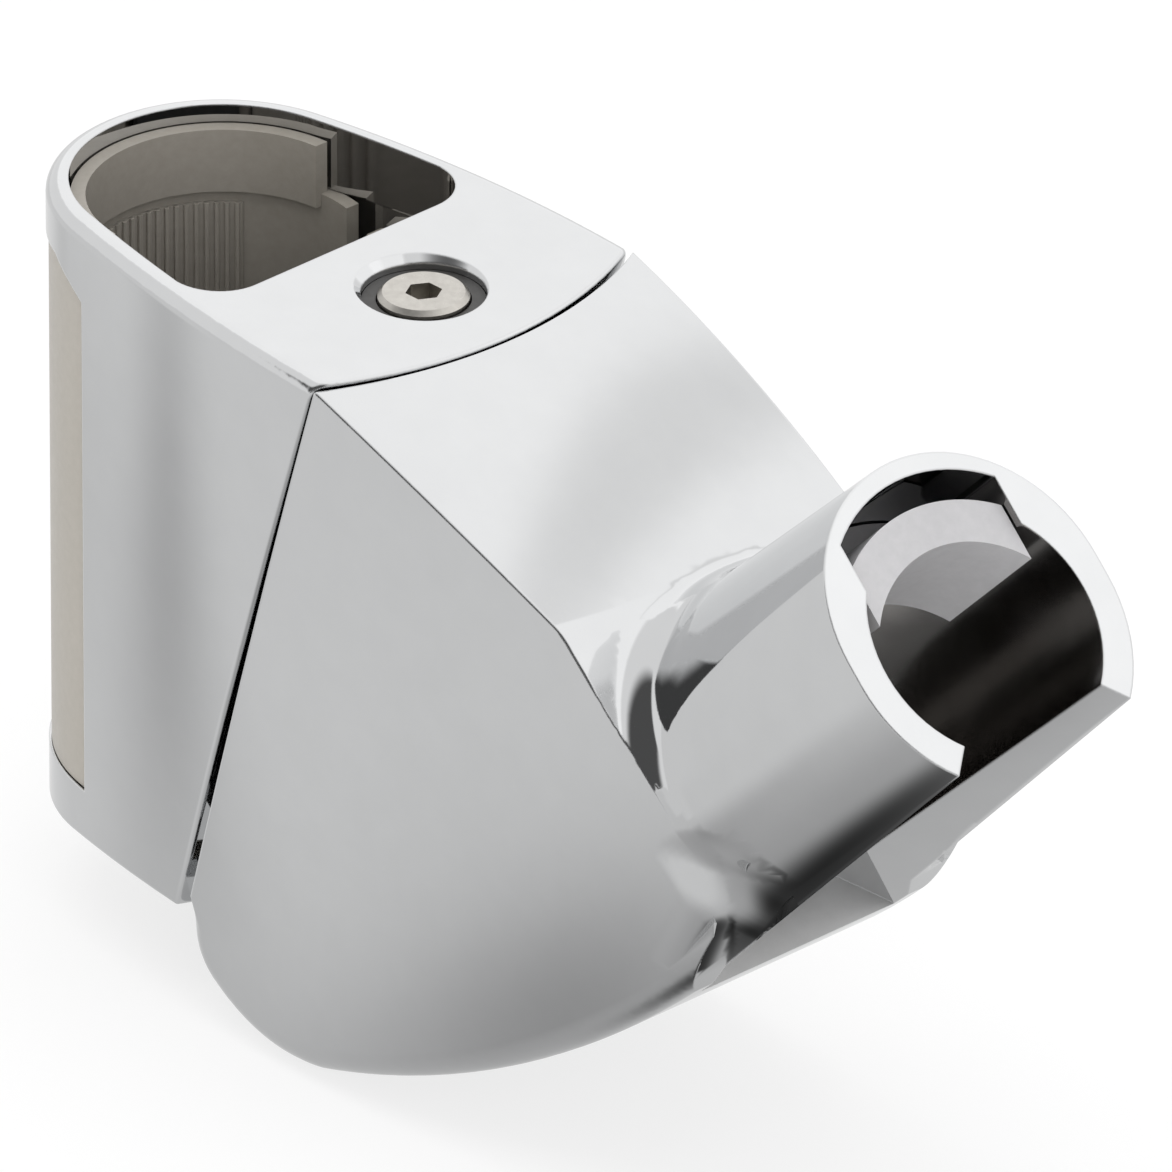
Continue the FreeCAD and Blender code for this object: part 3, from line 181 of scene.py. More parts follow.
looks = {
    "chromePlate": {
        "metallic": 1.0, "darkColour": (0.60, 0.605, 0.61), "lightColour": (0.63, 0.635, 0.64),
        "roughness": (0.02, 0.06), "grainScale": 300, "bump": 0.02, "bumpDepth": 0.00002, "edgeRound": 0.0003,
    },
    # darker, duller copy of the chrome: painted shade for the inside of the seat
    "boreShadeChrome": {
        "metallic": 1.0, "darkColour": (0.27, 0.26, 0.25), "lightColour": (0.33, 0.32, 0.31),
        "roughness": (0.12, 0.2), "grainScale": 300, "bump": 0.02, "bumpDepth": 0.00002, "edgeRound": 0.0003,
    },
    "satinChrome": {
        "metallic": 1.0, "darkColour": (0.56, 0.56, 0.56), "lightColour": (0.62, 0.62, 0.62),
        "roughness": (0.4, 0.5), "grainScale": 900, "bump": 0.1, "bumpDepth": 0.00003,
    },
    "linerPlastic": {
        "darkColour": (0.27, 0.25, 0.215), "lightColour": (0.33, 0.305, 0.27),
        "roughness": (0.38, 0.52), "grainScale": 1400, "bump": 0.15, "bumpDepth": 0.00004,
    },
    # the back strip's beige tone is a painted reflection of beige surroundings, not its own colour
    "backStripPaintedReflection": {
        "darkColour": (0.40, 0.375, 0.33), "lightColour": (0.45, 0.42, 0.375),
        "roughness": (0.3, 0.42), "grainScale": 1800, "bump": 0.1, "bumpDepth": 0.00003, "specular": 0.45,
    },
    "clipPlastic": {
        "darkColour": (0.40, 0.395, 0.405), "lightColour": (0.47, 0.465, 0.475),
        "roughness": (0.36, 0.5), "grainScale": 1200, "bump": 0.15, "bumpDepth": 0.00004,
    },
    "darkPlastic": {
        "darkColour": (0.03, 0.03, 0.032), "lightColour": (0.05, 0.05, 0.052),
        "roughness": (0.35, 0.5), "grainScale": 1300, "bump": 0.15, "bumpDepth": 0.00004,
    },
    # very dark brownish grey for the ring in the screw's well
    "screwRingDarkTone": {
        "darkColour": (0.035, 0.034, 0.033), "lightColour": (0.06, 0.058, 0.055),
        "roughness": (0.4, 0.55), "grainScale": 1500, "bump": 0.1, "bumpDepth": 0.00003,
    },
    "satinSteel": {
        "metallic": 1.0, "darkColour": (0.42, 0.40, 0.37), "lightColour": (0.56, 0.54, 0.50),
        "roughness": (0.22, 0.42), "grainScale": 1800, "bump": 0.2, "bumpDepth": 0.00003,
    },
    "groundSteel": {
        "metallic": 1.0, "darkColour": (0.5, 0.5, 0.5), "lightColour": (0.6, 0.6, 0.6),
        "roughness": (0.15, 0.25), "grainScale": 900, "stretch": (6, 1, 6), "bump": 0.1, "bumpDepth": 0.00002,
    },
    "turnedBrass": {
        "metallic": 1.0, "darkColour": (0.5, 0.36, 0.16), "lightColour": (0.62, 0.46, 0.22),
        "roughness": (0.2, 0.35), "grainScale": 900, "bump": 0.15, "bumpDepth": 0.00003,
    },
    "castPlate": {
        "metallic": 0.7, "darkColour": (0.05, 0.05, 0.052), "lightColour": (0.09, 0.09, 0.092),
        "roughness": (0.4, 0.6), "grainScale": 700, "bump": 0.3, "bumpDepth": 0.00006,
    },
    "brakeRubber": {
        "darkColour": (0.02, 0.02, 0.02), "lightColour": (0.04, 0.04, 0.04),
        "roughness": (0.6, 0.8), "grainScale": 900, "bump": 0.3, "bumpDepth": 0.00006,
    },
}
materials = {name: makeMaterial(name, look) for name, look in looks.items()}
print("materials made")

nodeLooks = {
    "slider_housing": "chromePlate",
    "holder_shell": "chromePlate",
    "back_cover": "backStripPaintedReflection",
    "bar_sleeve": "linerPlastic",
    "rib_pad": "linerPlastic",
    "screw_well_ring": "screwRingDarkTone",
    "deck_screw": "satinSteel",
    "thread_insert": "turnedBrass",
    "mechanism_block": "darkPlastic",
    "pivot_pin": "groundSteel",
    "guide_rods": "groundSteel",
    "brake_carriage": "linerPlastic",
    "brake_pad": "brakeRubber",
    "brake_springs": "groundSteel",
    "lever_plate": "castPlate",
    "plate_screws": "groundSteel",
    "lever_bushes": "turnedBrass",
    "cross_pin": "groundSteel",
    "cup_clip": "clipPlastic",
}
for name, look in nodeLooks.items():
    mesh = nodes[name].data
    if not mesh.materials:
        mesh.materials.append(None)
    for index in range(len(mesh.materials)):
        mesh.materials[index] = materials[look]


# Chrome shells. A CAD node comes with each of its faces as an island of its own. The islands are named
# before their corners are joined, and a flat, straight or turned face gets its exact normals.
cupLean = math.radians(45)
cupMouth = np.array((100.65, 0.0, -8.0))
cupAlong = np.array((math.sin(cupLean), 0.0, math.cos(cupLean)))
cupSlotWay = np.array((math.cos(cupLean), 0.0, -math.sin(cupLean)))
forward, sideways, upward = np.eye(3)
surfaceSettings = {
    "lines": [(sideways, forward), (upward, forward), (cupAlong, cupSlotWay), (forward, sideways)],
    "axes": [
        (np.array((-4.16, 0.0, 0.0)), upward), (np.array((26.85, 0.0, 0.0)), upward),
        (np.array((0.0, 0.0, 0.0)), upward), (cupMouth, cupAlong), (cupMouth - cupSlotWay * 2.2, cupAlong),
    ],
    "tolerance": 0.004, "largest": 1500.0, "agree": 0.97, "smooth": 0.9,
}


def unit(rows):
    return rows / np.maximum(np.linalg.norm(rows, axis=1), 1e-9)[:, None]


def fitCircle(points):
    middle = points.mean(axis=0)
    shifted = points - middle
    table = np.column_stack((shifted * 2, np.ones(len(points))))
    answer = np.linalg.lstsq(table, (shifted ** 2).sum(axis=1), rcond=None)[0]
    centre = answer[:2]
    radius = math.sqrt(max(answer[2] + centre @ centre, 0))
    miss = np.abs(np.linalg.norm(shifted - centre, axis=1) - radius).max()
    return centre + middle, radius, miss


def fitLine(points):
    middle = points.mean(axis=0)
    across = np.linalg.svd(points - middle)[2][1]
    return across, np.abs((points - middle) @ across).max()


# Rule for the normals of a face that is a circle drawn along a line
def straightRules(points, settings):
    for along, first in settings["lines"]:
        second = np.cross(along, first)
        centre, radius, miss = fitCircle(np.column_stack((points @ first, points @ second)))
        if miss < settings["tolerance"] and radius < settings["largest"]:
            yield lambda spots: unit(
                np.outer(spots @ first - centre[0], first) + np.outer(spots @ second - centre[1], second)
            )


# Rule for the normals of a face turned about an axis: a cylinder, a cone or part of a ring
def turnedRules(points, settings):
    for centre, along in settings["axes"]:
        def profileOf(spots):
            arms = spots - centre
            heights = arms @ along
            arms = arms - np.outer(heights, along)
            return unit(arms), np.column_stack((np.linalg.norm(arms, axis=1), heights))

        profile = profileOf(points)[1]
        if profile[:, 0].min() < 0.01:
            continue
        across, miss = fitLine(profile)
        if miss < settings["tolerance"]:
            yield lambda spots: unit(profileOf(spots)[0] * across[0] + along * across[1])
        ring, radius, miss = fitCircle(profile)
        if miss < settings["tolerance"] and radius < settings["largest"]:
            def ringRule(spots):
                arms, flat = profileOf(spots)
                out = unit(flat - ring)
                return arms * out[:, :1] + np.outer(out[:, 1], along)
            yield ringRule


def nameIslands(mesh):
    parent = list(range(len(mesh.vertices)))

    def top(number):
        while parent[number] != number:
            parent[number] = parent[parent[number]]
            number = parent[number]
        return number

    for polygon in mesh.polygons:
        first = top(polygon.vertices[0])
        for corner in polygon.vertices[1:]:
            parent[top(corner)] = first
    names = mesh.attributes.new("island", "INT", "FACE")
    for polygon in mesh.polygons:
        names.data[polygon.index].value = top(polygon.vertices[0])


def islandMembers(mesh):
    members = {}
    names = mesh.attributes["island"].data
    for polygon in mesh.polygons:
        members.setdefault(names[polygon.index].value, []).append(polygon)
    return members


# Normals weighed by corner angle, for faces that no rule fits
def roughNormals(places, polygons, row):
    rough = np.zeros((len(row), 3))
    for polygon in polygons:
        corners = list(polygon.vertices)
        for number, corner in enumerate(corners):
            ahead = places[corners[(number + 1) % len(corners)]] - places[corner]
            behind = places[corners[number - 1]] - places[corner]
            reach = np.linalg.norm(ahead) * np.linalg.norm(behind)
            if reach > 0:
                angle = math.acos(max(-1.0, min(1.0, float(ahead @ behind) / reach)))
                rough[row[corner]] += np.array(polygon.normal) * angle
    return unit(rough)


def meshPlaces(mesh):
    return np.array([corner.co for corner in mesh.vertices]) * 1000


# Finds the rule of each island; None where there is none
def findRules(mesh, settings):
    places = meshPlaces(mesh)
    rules = {}
    for island, polygons in islandMembers(mesh).items():
        corners = sorted({corner for polygon in polygons for corner in polygon.vertices})
        row = {corner: number for number, corner in enumerate(corners)}
        points = places[corners]
        facets = np.array([polygon.normal for polygon in polygons])
        rules[island] = None
        if (facets @ facets[0]).min() > 0.99999:
            rules[island] = lambda spots, flat=facets[0]: np.repeat(flat[None, :], len(spots), axis=0)
            continue
        rough = roughNormals(places, polygons, row)
        for finder in (straightRules, turnedRules):
            for rule in finder(points, settings):
                guess = rule(points)
                sign = 1.0 if (guess * rough).sum() > 0 else -1.0
                if ((guess * rough).sum(axis=1) * sign).min() > settings["agree"]:
                    rules[island] = lambda spots, keep=rule, sign=sign: keep(spots) * sign
                    break
            if rules[island]:
                break
    return rules


# Gives every corner of every face its normal: by rule, or by angle where none fits
def giveNormals(mesh, rules, settings, special=None):
    places = meshPlaces(mesh)
    normals = {}
    for island, polygons in islandMembers(mesh).items():
        corners = sorted({corner for polygon in polygons for corner in polygon.vertices})
        row = {corner: number for number, corner in enumerate(corners)}
        rule = rules.get(island)
        found = rule(places[corners]) if rule else roughNormals(places, polygons, row)
        for corner, normal in zip(corners, found):
            normals[(corner, island)] = normal
    touching = {}
    for corner, island in normals:
        touching.setdefault(corner, []).append(island)
    joined = dict(normals)
    for corner, islands in touching.items():
        firm = [island for island in islands if rules.get(island)]
        for island in islands:
            if rules.get(island):
                continue
            own = normals[(corner, island)]
            near = [(float(normals[(corner, other)] @ own), other) for other in firm]
            if near and max(near)[0] > settings["smooth"]:
                joined[(corner, island)] = normals[(corner, max(near)[1])]
            elif not firm:
                alike = [normals[(corner, other)] for other in islands]
                total = sum(one for one in alike if float(one @ own) > settings["smooth"])
                joined[(corner, island)] = total / max(np.linalg.norm(total), 1e-9)
    if special:
        joined.update(special)
    names = mesh.attributes["island"].data
    loops = []
    for polygon in mesh.polygons:
        polygon.use_smooth = True
        island = names[polygon.index].value
        for corner in polygon.vertices:
            loops.append(tuple(joined[(corner, island)]))
    mesh.normals_split_custom_set(loops)


def smoothCopy(node, name, body, settings, reshape=None):
    mesh = nodes[node].data.copy()
    mesh.name = name
    nameIslands(mesh)
    work = bmesh.new()
    work.from_mesh(mesh)
    bmesh.ops.remove_doubles(work, verts=work.verts, dist=1e-7)
    bmesh.ops.dissolve_degenerate(work, edges=work.edges, dist=1e-7)
    work.to_mesh(mesh)
    rules = findRules(mesh, settings)
    special = None
    if reshape:
        special = reshape(work, mesh)
    work.free()
    giveNormals(mesh, rules, settings, special)
    piece = bpy.data.objects.new(name, mesh)
    scene.collection.objects.link(piece)
    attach(piece, body)
    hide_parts(node)
    ruled = sum(1 for rule in rules.values() if rule)
    print(f"{name}: {ruled} of {len(rules)} faces follow a rule")
    return piece


# Blend of cup and body: distances to the holder's outer surfaces, in millimetres
blendSettings = {
    "topAxisX": -4.16, "topCentre": (-46.11, -225.26), "topBend": 240.0,
    "slopePoint": (71.36, -16.35), "slopeNormal": (0.7722, 0.6353), "slopeTurn": 0.36,
    "flankCentreX": 33.0, "flankCentreY": -280.04, "flankBend": 300.0,
    "frontPoint": (84.0, -37.0), "frontNormal": (0.8882, -0.4594),
    "cupRadius": 15.4, "cupGrowth": 1.4 / 46.5, "cupBack": 2.2,
    "bend": 4.4, "cornerBend": 5.0, "reach": 5.0, "cell": 0.75,
    "creaseEnd": -30.0, "creaseFade": 5.0, "creaseBend": 4.0,
    "low": (50.0, -20.0, -45.5), "high": (88.0, 20.0, -6.0), "lowFade": 3.0,
    "coarseCell": 4.0, "coarseReach": 60.0, "offGrid": 0.013, "sameFace": 0.12, "creaseFace": 0.3, "rounds": 5,
    "sweeps": (
        (cupAlong, cupMouth, -46.0, -4.0), (sideways, np.zeros(3), -20.0, 20.0),
        (cupSlotWay, cupMouth, -34.0, 16.0),
    ),
}


def softMin(one, other, width):
    width = np.maximum(width, 1e-6)
    return np.minimum(one, other) - np.maximum(width - np.abs(one - other), 0) ** 2 / (width * 4)


def softMax(one, other, width):
    return -softMin(-one, -other, width)


def topDistance(spots, settings):
    run = np.hypot(spots[:, 0] - settings["topAxisX"], spots[:, 1])
    arc = np.hypot(run - settings["topCentre"][0], spots[:, 2] - settings["topCentre"][1]) - settings["topBend"]
    point, normal = settings["slopePoint"], settings["slopeNormal"]
    slope = (run - point[0]) * normal[0] + (spots[:, 2] - point[1]) * normal[1]
    return softMax(arc, slope, settings["slopeTurn"])


def flankDistance(spots, settings):
    arm = spots[:, 0] - settings["flankCentreX"]
    return np.hypot(arm, np.abs(spots[:, 1]) - settings["flankCentreY"]) - settings["flankBend"]


def frontDistance(spots, settings):
    point, normal = settings["frontPoint"], settings["frontNormal"]
    return (spots[:, 0] - point[0]) * normal[0] + (spots[:, 2] - point[1]) * normal[1]


def cupDistance(spots, settings):
    arms = spots - cupMouth
    out = arms @ cupSlotWay
    out = np.maximum(out, 0) + np.minimum(out + settings["cupBack"], 0)
    return np.hypot(out, arms[:, 1]) - settings["cupRadius"] + (arms @ cupAlong) * settings["cupGrowth"]


def slopeOf(distance, spots, settings):
    step = 0.01
    columns = []
    for way in np.eye(3):
        columns.append(distance(spots + way * step, settings) - distance(spots - way * step, settings))
    return np.column_stack(columns) / (step * 2)


def blendWith(distance, spots, settings):
    turn = (unit(slopeOf(distance, spots, settings)) * unit(slopeOf(cupDistance, spots, settings))).sum(axis=1)
    width = settings["bend"] * (1 - turn) ** 2
    return softMin(distance(spots, settings), cupDistance(spots, settings), width)


def topBlend(spots, settings):
    return blendWith(topDistance, spots, settings)


def roundedFlank(spots, settings):
    return softMax(flankDistance(spots, settings), frontDistance(spots, settings), settings["cornerBend"])


def flankBlend(spots, settings):
    return blendWith(roundedFlank, spots, settings)


# Share of the crease's rounding: none above, all of it below the crease's tip
def creaseShare(spots, settings):
    share = np.clip((settings["creaseEnd"] - spots[:, 2]) / settings["creaseFade"], 0, 1)
    return share ** 2 * (3 - share * 2)


def wholeBlend(spots, settings):
    width = settings["creaseBend"] * creaseShare(spots, settings)
    return softMax(topBlend(spots, settings), flankBlend(spots, settings), width)


# Names the outer faces that the blend may change, each by the surface that it lies on
def nameKinds(work, names, settings):
    fields = (("top", topDistance), ("flank", flankDistance), ("front", frontDistance), ("cup", cupDistance))
    members = {}
    for face in work.faces:
        members.setdefault(face[names], []).append(face)
    kinds = {}
    for island, faces in members.items():
        spots = np.array([corner.co for face in faces for corner in face.verts]) * 1000
        misses = [(np.abs(distance(spots, settings)).max(), kind) for kind, distance in fields]
        if min(misses)[0] < settings["sameFace"]:
            kinds[island] = min(misses)[1]
        elif max(misses[0][0], misses[1][0]) < settings["creaseFace"]:
            kinds[island] = "crease"
    return kinds


# Those faces that lie near the line where cup and body meet
def facesNearRoot(work, names, kinds, reach, settings):
    picked = [face for face in work.faces if face[names] in kinds]
    spots = np.array([face.calc_center_median() for face in picked]) * 1000
    body = np.maximum(topDistance(spots, settings), roundedFlank(spots, settings))
    near = np.abs(body - cupDistance(spots, settings)) < reach
    near &= (spots > np.array(settings["low"])).all(axis=1)
    near &= (spots < np.array(settings["high"])).all(axis=1)
    return [face for face, yes in zip(picked, near) if yes]


# Cuts them by planes in three directions, first coarsely and then finely near the root
def cutCells(work, names, kinds, settings):
    coarse = (settings["coarseCell"], settings["coarseReach"])
    fine = (settings["cell"], settings["reach"])
    for cell, reach in (coarse, fine):
        for way, start, first, last in settings["sweeps"]:
            count = int((last - first) / cell)
            for number in range(count + 1):
                level = first + (last - first) * number / count + settings["offGrid"]
                crossed = []
                for face in facesNearRoot(work, names, kinds, reach, settings):
                    heights = [(np.array(corner.co) * 1000 - start) @ way - level for corner in face.verts]
                    if min(heights) < -1e-4 and max(heights) > 1e-4:
                        crossed.append(face)
                if not crossed:
                    continue
                geometry = set(crossed)
                for face in crossed:
                    geometry.update(face.edges)
                    geometry.update(face.verts)
                bmesh.ops.bisect_plane(
                    work, geom=list(geometry), dist=1e-8,
                    plane_co=tuple((start + way * level) / 1000), plane_no=tuple(way),
                )
    bmesh.ops.triangulate(work, faces=facesNearRoot(work, names, kinds, settings["reach"], settings))


# Draws the corners near the root onto the blended form, and tells which corners moved
def moveOntoBlend(work, names, kinds, settings):
    faces = facesNearRoot(work, names, kinds, settings["reach"], settings)
    loose = {corner for face in faces for corner in face.verts}
    moving = [corner for corner in loose if all(face[names] in kinds for face in corner.link_faces)]
    spots = np.array([corner.co for corner in moving]) * 1000
    starts = spots.copy()
    for number in range(settings["rounds"]):
        slope = slopeOf(wholeBlend, spots, settings)
        steepness = np.maximum((slope ** 2).sum(axis=1), 0.2)
        spots = spots - slope * (wholeBlend(spots, settings) / steepness)[:, None]
    fade = np.clip((spots[:, 2] - settings["low"][2]) / settings["lowFade"], 0, 1)[:, None]
    spots = starts + (spots - starts) * fade
    for corner, spot in zip(moving, spots):
        corner.co = tuple(spot / 1000)
    shift = np.linalg.norm(spots - starts, axis=1)
    print(f"cup root: {len(moving)} corners, moved {shift.max():.2f} mm at most")
    return set(moving)


# Exact normals of the blended form for the corners that moved
def blendNormals(work, names, kinds, moved, settings):
    blends = {
        "top": topBlend, "flank": flankBlend, "front": flankBlend, "cup": wholeBlend, "crease": wholeBlend,
    }
    wanted = {kind: {} for kind in blends}
    for face in work.faces:
        kind = kinds.get(face[names])
        if kind:
            for corner in face.verts:
                if corner in moved:
                    wanted[kind][(corner.index, face[names])] = np.array(corner.co) * 1000
    normals = {}
    for kind, entries in wanted.items():
        if entries:
            spots = np.array(list(entries.values()))
            share = creaseShare(spots, settings)[:, None]
            own = unit(slopeOf(blends[kind], spots, settings))
            whole = unit(slopeOf(wholeBlend, spots, settings))
            normals.update(zip(entries.keys(), unit(own * (1 - share) + whole * share)))
    return normals


def blendRoot(work, mesh, settings):
    names = work.faces.layers.int["island"]
    kinds = nameKinds(work, names, settings)
    cutCells(work, names, kinds, settings)
    moved = moveOntoBlend(work, names, kinds, settings)
    work.verts.index_update()
    work.to_mesh(mesh)
    return blendNormals(work, names, kinds, moved, settings)


housingShell = smoothCopy("slider_housing", "housingShell", "slider", surfaceSettings)
holderShell = smoothCopy(
    "holder_shell", "holderShell", "holder", surfaceSettings,
    lambda work, mesh: blendRoot(work, mesh, blendSettings),
)


# The seat's own faces, which look to its axis, get a darker copy of the chrome as painted shade inside the seat,
# and its floor is satin
def shadeAndSatinSeat(piece, settings):
    mesh = piece.data
    mesh.materials.append(materials["boreShadeChrome"])
    mesh.materials.append(materials["satinChrome"])
    for polygon in mesh.polygons:
        arms = np.array(polygon.center) * 1000 - cupMouth
        height = arms @ cupAlong
        out = arms - cupAlong * height
        away = np.linalg.norm(out)
        inwards = float(np.array(polygon.normal) @ out) / max(away, 1e-6)
        if away > settings["widest"]:
            continue
        if settings["deepest"] < height < -0.3 and inwards < -0.3:
            polygon.material_index = 1
        elif height < -settings["widest"] and float(np.array(polygon.normal) @ cupAlong) > 0.98:
            polygon.material_index = 2 if height < settings["floorBelow"] else 1


shadeAndSatinSeat(holderShell, {"deepest": -44.0, "widest": 15.2, "floorBelow": -46.0})
print("chrome shells made")


# Ribbed pad of the bar passage: a thin curved plate with a row of fine upright ribs, made by nodes
padSettings = {
    "ribCount": 24, "firstAngle": 131.125, "pitch": 4.25, "ribWidth": 0.45, "ribRound": 0.12, "tipRadius": 12.55,
    "plateInner": 12.85, "plateOuter": 13.2, "plateStart": 129.0, "plateSweep": 102.0, "low": -54.2, "high": -9.5,
}


def makeRibTree(settings):
    tree = bpy.data.node_groups.new("ribbedPad", "GeometryNodeTree")
    face = tree.interface
    face.new_socket("Geometry", in_out="INPUT", socket_type="NodeSocketGeometry")
    sizes = {}
    for name, value in (
        ("Rib Width", settings["ribWidth"]), ("Rib Round", settings["ribRound"]),
        ("Tip Radius", settings["tipRadius"]), ("Plate Inner", settings["plateInner"]),
        ("Plate Outer", settings["plateOuter"]), ("Low", settings["low"]), ("High", settings["high"]),
    ):
        sizes[name] = face.new_socket(name, in_out="INPUT", socket_type="NodeSocketFloat")
        sizes[name].default_value = value * 0.001
    count = face.new_socket("Rib Count", in_out="INPUT", socket_type="NodeSocketInt")
    count.default_value = settings["ribCount"]
    for name in ("firstAngle", "pitch", "plateStart", "plateSweep"):
        angle = face.new_socket(name, in_out="INPUT", socket_type="NodeSocketFloat")
        angle.default_value = math.radians(settings[name])
    finish = face.new_socket("Finish", in_out="INPUT", socket_type="NodeSocketMaterial")
    face.new_socket("Geometry", in_out="OUTPUT", socket_type="NodeSocketGeometry")
    links = tree.links
    start = newNode(tree, "NodeGroupInput", -1600, 0)
    end = newNode(tree, "NodeGroupOutput", 1400, 0)

    def maths(operation, one, other, x, y):
        node = newNode(tree, "ShaderNodeMath", x, y, operation=operation)
        for socket, value in zip(node.inputs, (one, other)):
            if isinstance(value, float):
                socket.default_value = value
            else:
                links.new(value, socket)
        return node.outputs[0]

    given = start.outputs
    acrossPlate = maths("ADD", given["Plate Inner"], given["Plate Outer"], -1300, 500)
    middle = maths("MULTIPLY", acrossPlate, 0.5, -1100, 500)
    thick = maths("SUBTRACT", given["Plate Outer"], given["Plate Inner"], -1300, 350)
    deep = maths("SUBTRACT", middle, given["Tip Radius"], -900, 350)
    centre = maths("ADD", given["Tip Radius"], maths("MULTIPLY", deep, 0.5, -700, 350), -500, 350)
    tall = maths("SUBTRACT", given["High"], given["Low"], -1300, 200)
    halfway = maths("MULTIPLY", maths("ADD", given["High"], given["Low"], -1300, 50), 0.5, -1100, 50)

    ribFoot = newNode(tree, "ShaderNodeCombineXYZ", -900, 0)
    ribHead = newNode(tree, "ShaderNodeCombineXYZ", -900, -150)
    line = newNode(tree, "GeometryNodeCurvePrimitiveLine", -700, -50)
    square = newNode(tree, "GeometryNodeCurvePrimitiveQuadrilateral", -700, -250)
    softened = newNode(tree, "GeometryNodeFilletCurve", -500, -250, mode="POLY")
    rib = newNode(tree, "GeometryNodeCurveToMesh", -300, -100)
    rib.inputs["Fill Caps"].default_value = True
    softened.inputs["Count"].default_value = 3
    links.new(given["Low"], ribFoot.inputs["Z"])
    links.new(given["High"], ribHead.inputs["Z"])
    links.new(ribFoot.outputs[0], line.inputs["Start"])
    links.new(ribHead.outputs[0], line.inputs["End"])
    links.new(deep, square.inputs["Width"])
    links.new(given["Rib Width"], square.inputs["Height"])
    links.new(square.outputs[0], softened.inputs["Curve"])
    links.new(given["Rib Round"], softened.inputs["Radius"])
    links.new(line.outputs[0], rib.inputs["Curve"])
    links.new(softened.outputs[0], rib.inputs["Profile Curve"])

    outward = newNode(tree, "ShaderNodeCombineXYZ", -300, 150)
    placed = newNode(tree, "GeometryNodeTransform", -100, 0)
    row = newNode(tree, "GeometryNodeMeshLine", -300, -400)
    index = newNode(tree, "GeometryNodeInputIndex", -500, -550)
    advance = maths("MULTIPLY", index.outputs[0], given["pitch"], -300, -550)
    turn = maths("ADD", given["firstAngle"], advance, -100, -550)
    spin = newNode(tree, "ShaderNodeCombineXYZ", 100, -450)
    repeat = newNode(tree, "GeometryNodeInstanceOnPoints", 300, -100)
    links.new(centre, outward.inputs["X"])
    links.new(rib.outputs[0], placed.inputs["Geometry"])
    links.new(outward.outputs[0], placed.inputs["Translation"])
    links.new(given["Rib Count"], row.inputs["Count"])
    row.inputs["Offset"].default_value = (0, 0, 0)
    links.new(turn, spin.inputs["Z"])
    links.new(row.outputs[0], repeat.inputs["Points"])
    links.new(placed.outputs[0], repeat.inputs["Instance"])
    links.new(spin.outputs[0], repeat.inputs["Rotation"])

    arc = newNode(tree, "GeometryNodeCurveArc", -300, 600, mode="RADIUS")
    arc.inputs["Resolution"].default_value = 61
    strip = newNode(tree, "GeometryNodeCurvePrimitiveQuadrilateral", -300, 350)
    plate = newNode(tree, "GeometryNodeCurveToMesh", -100, 500)
    plate.inputs["Fill Caps"].default_value = True
    lift = newNode(tree, "ShaderNodeCombineXYZ", -100, 300)
    raised = newNode(tree, "GeometryNodeTransform", 100, 450)
    links.new(middle, arc.inputs["Radius"])
    links.new(given["plateStart"], arc.inputs["Start Angle"])
    links.new(given["plateSweep"], arc.inputs["Sweep Angle"])
    links.new(thick, strip.inputs["Width"])
    links.new(tall, strip.inputs["Height"])
    links.new(arc.outputs[0], plate.inputs["Curve"])
    links.new(strip.outputs[0], plate.inputs["Profile Curve"])
    links.new(halfway, lift.inputs["Z"])
    links.new(plate.outputs[0], raised.inputs["Geometry"])
    links.new(lift.outputs[0], raised.inputs["Translation"])

    both = newNode(tree, "GeometryNodeJoinGeometry", 600, 0)
    real = newNode(tree, "GeometryNodeRealizeInstances", 800, 0)
    painted = newNode(tree, "GeometryNodeSetMaterial", 1100, 0)
    links.new(repeat.outputs[0], both.inputs[0])
    links.new(raised.outputs[0], both.inputs[0])
    links.new(both.outputs[0], real.inputs[0])
    links.new(real.outputs[0], painted.inputs["Geometry"])
    links.new(given["Finish"], painted.inputs["Material"])
    links.new(painted.outputs[0], end.inputs[0])
    return tree, finish.identifier


def makeRibbedPad(settings):
    start = bpy.data.objects.new("ribbedPadStart", bpy.data.meshes.new("ribbedPadStart"))
    scene.collection.objects.link(start)
    tree, finishKey = makeRibTree(settings)
    step = start.modifiers.new("ribbedPad", "NODES")
    step.node_group = tree
    step[finishKey] = materials["linerPlastic"]
    mesh = bpy.data.meshes.new_from_object(start.evaluated_get(bpy.context.evaluated_depsgraph_get()))
    bpy.data.objects.remove(start)
    mesh.name = "ribbedPad"
    piece = bpy.data.objects.new("ribbedPad", mesh)
    scene.collection.objects.link(piece)
    work = bmesh.new()
    work.from_mesh(mesh)
    bmesh.ops.recalc_face_normals(work, faces=work.faces)
    work.to_mesh(mesh)
    work.free()
    mesh.shade_smooth()
    mesh.set_sharp_from_angle(angle=math.radians(40))
    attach(piece, "slider")
    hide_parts("rib_pad")
    return piece


ribbedPad = makeRibbedPad(padSettings)
print("ribbed pad made")


# Floor and surroundings
stageSettings = {"floorDrop": 0.0005, "floorSize": 6.0, "worldLight": 0.8, "plainWhite": 0.72}
floorLevel = cadBox[0][2] - stageSettings["floorDrop"]


# One when the ray comes from the camera or from a glossy or clear surface
def seenDirectly(tree, x, y):
    path = newNode(tree, "ShaderNodeLightPath", x, y)
    first = newNode(tree, "ShaderNodeMath", x + 200, y, operation="MAXIMUM")
    second = newNode(tree, "ShaderNodeMath", x + 400, y, operation="MAXIMUM")
    tree.links.new(path.outputs["Is Camera Ray"], first.inputs[0])
    tree.links.new(path.outputs["Is Glossy Ray"], first.inputs[1])
    tree.links.new(first.outputs[0], second.inputs[0])
    tree.links.new(path.outputs["Is Transmission Ray"], second.inputs[1])
    return second.outputs[0]


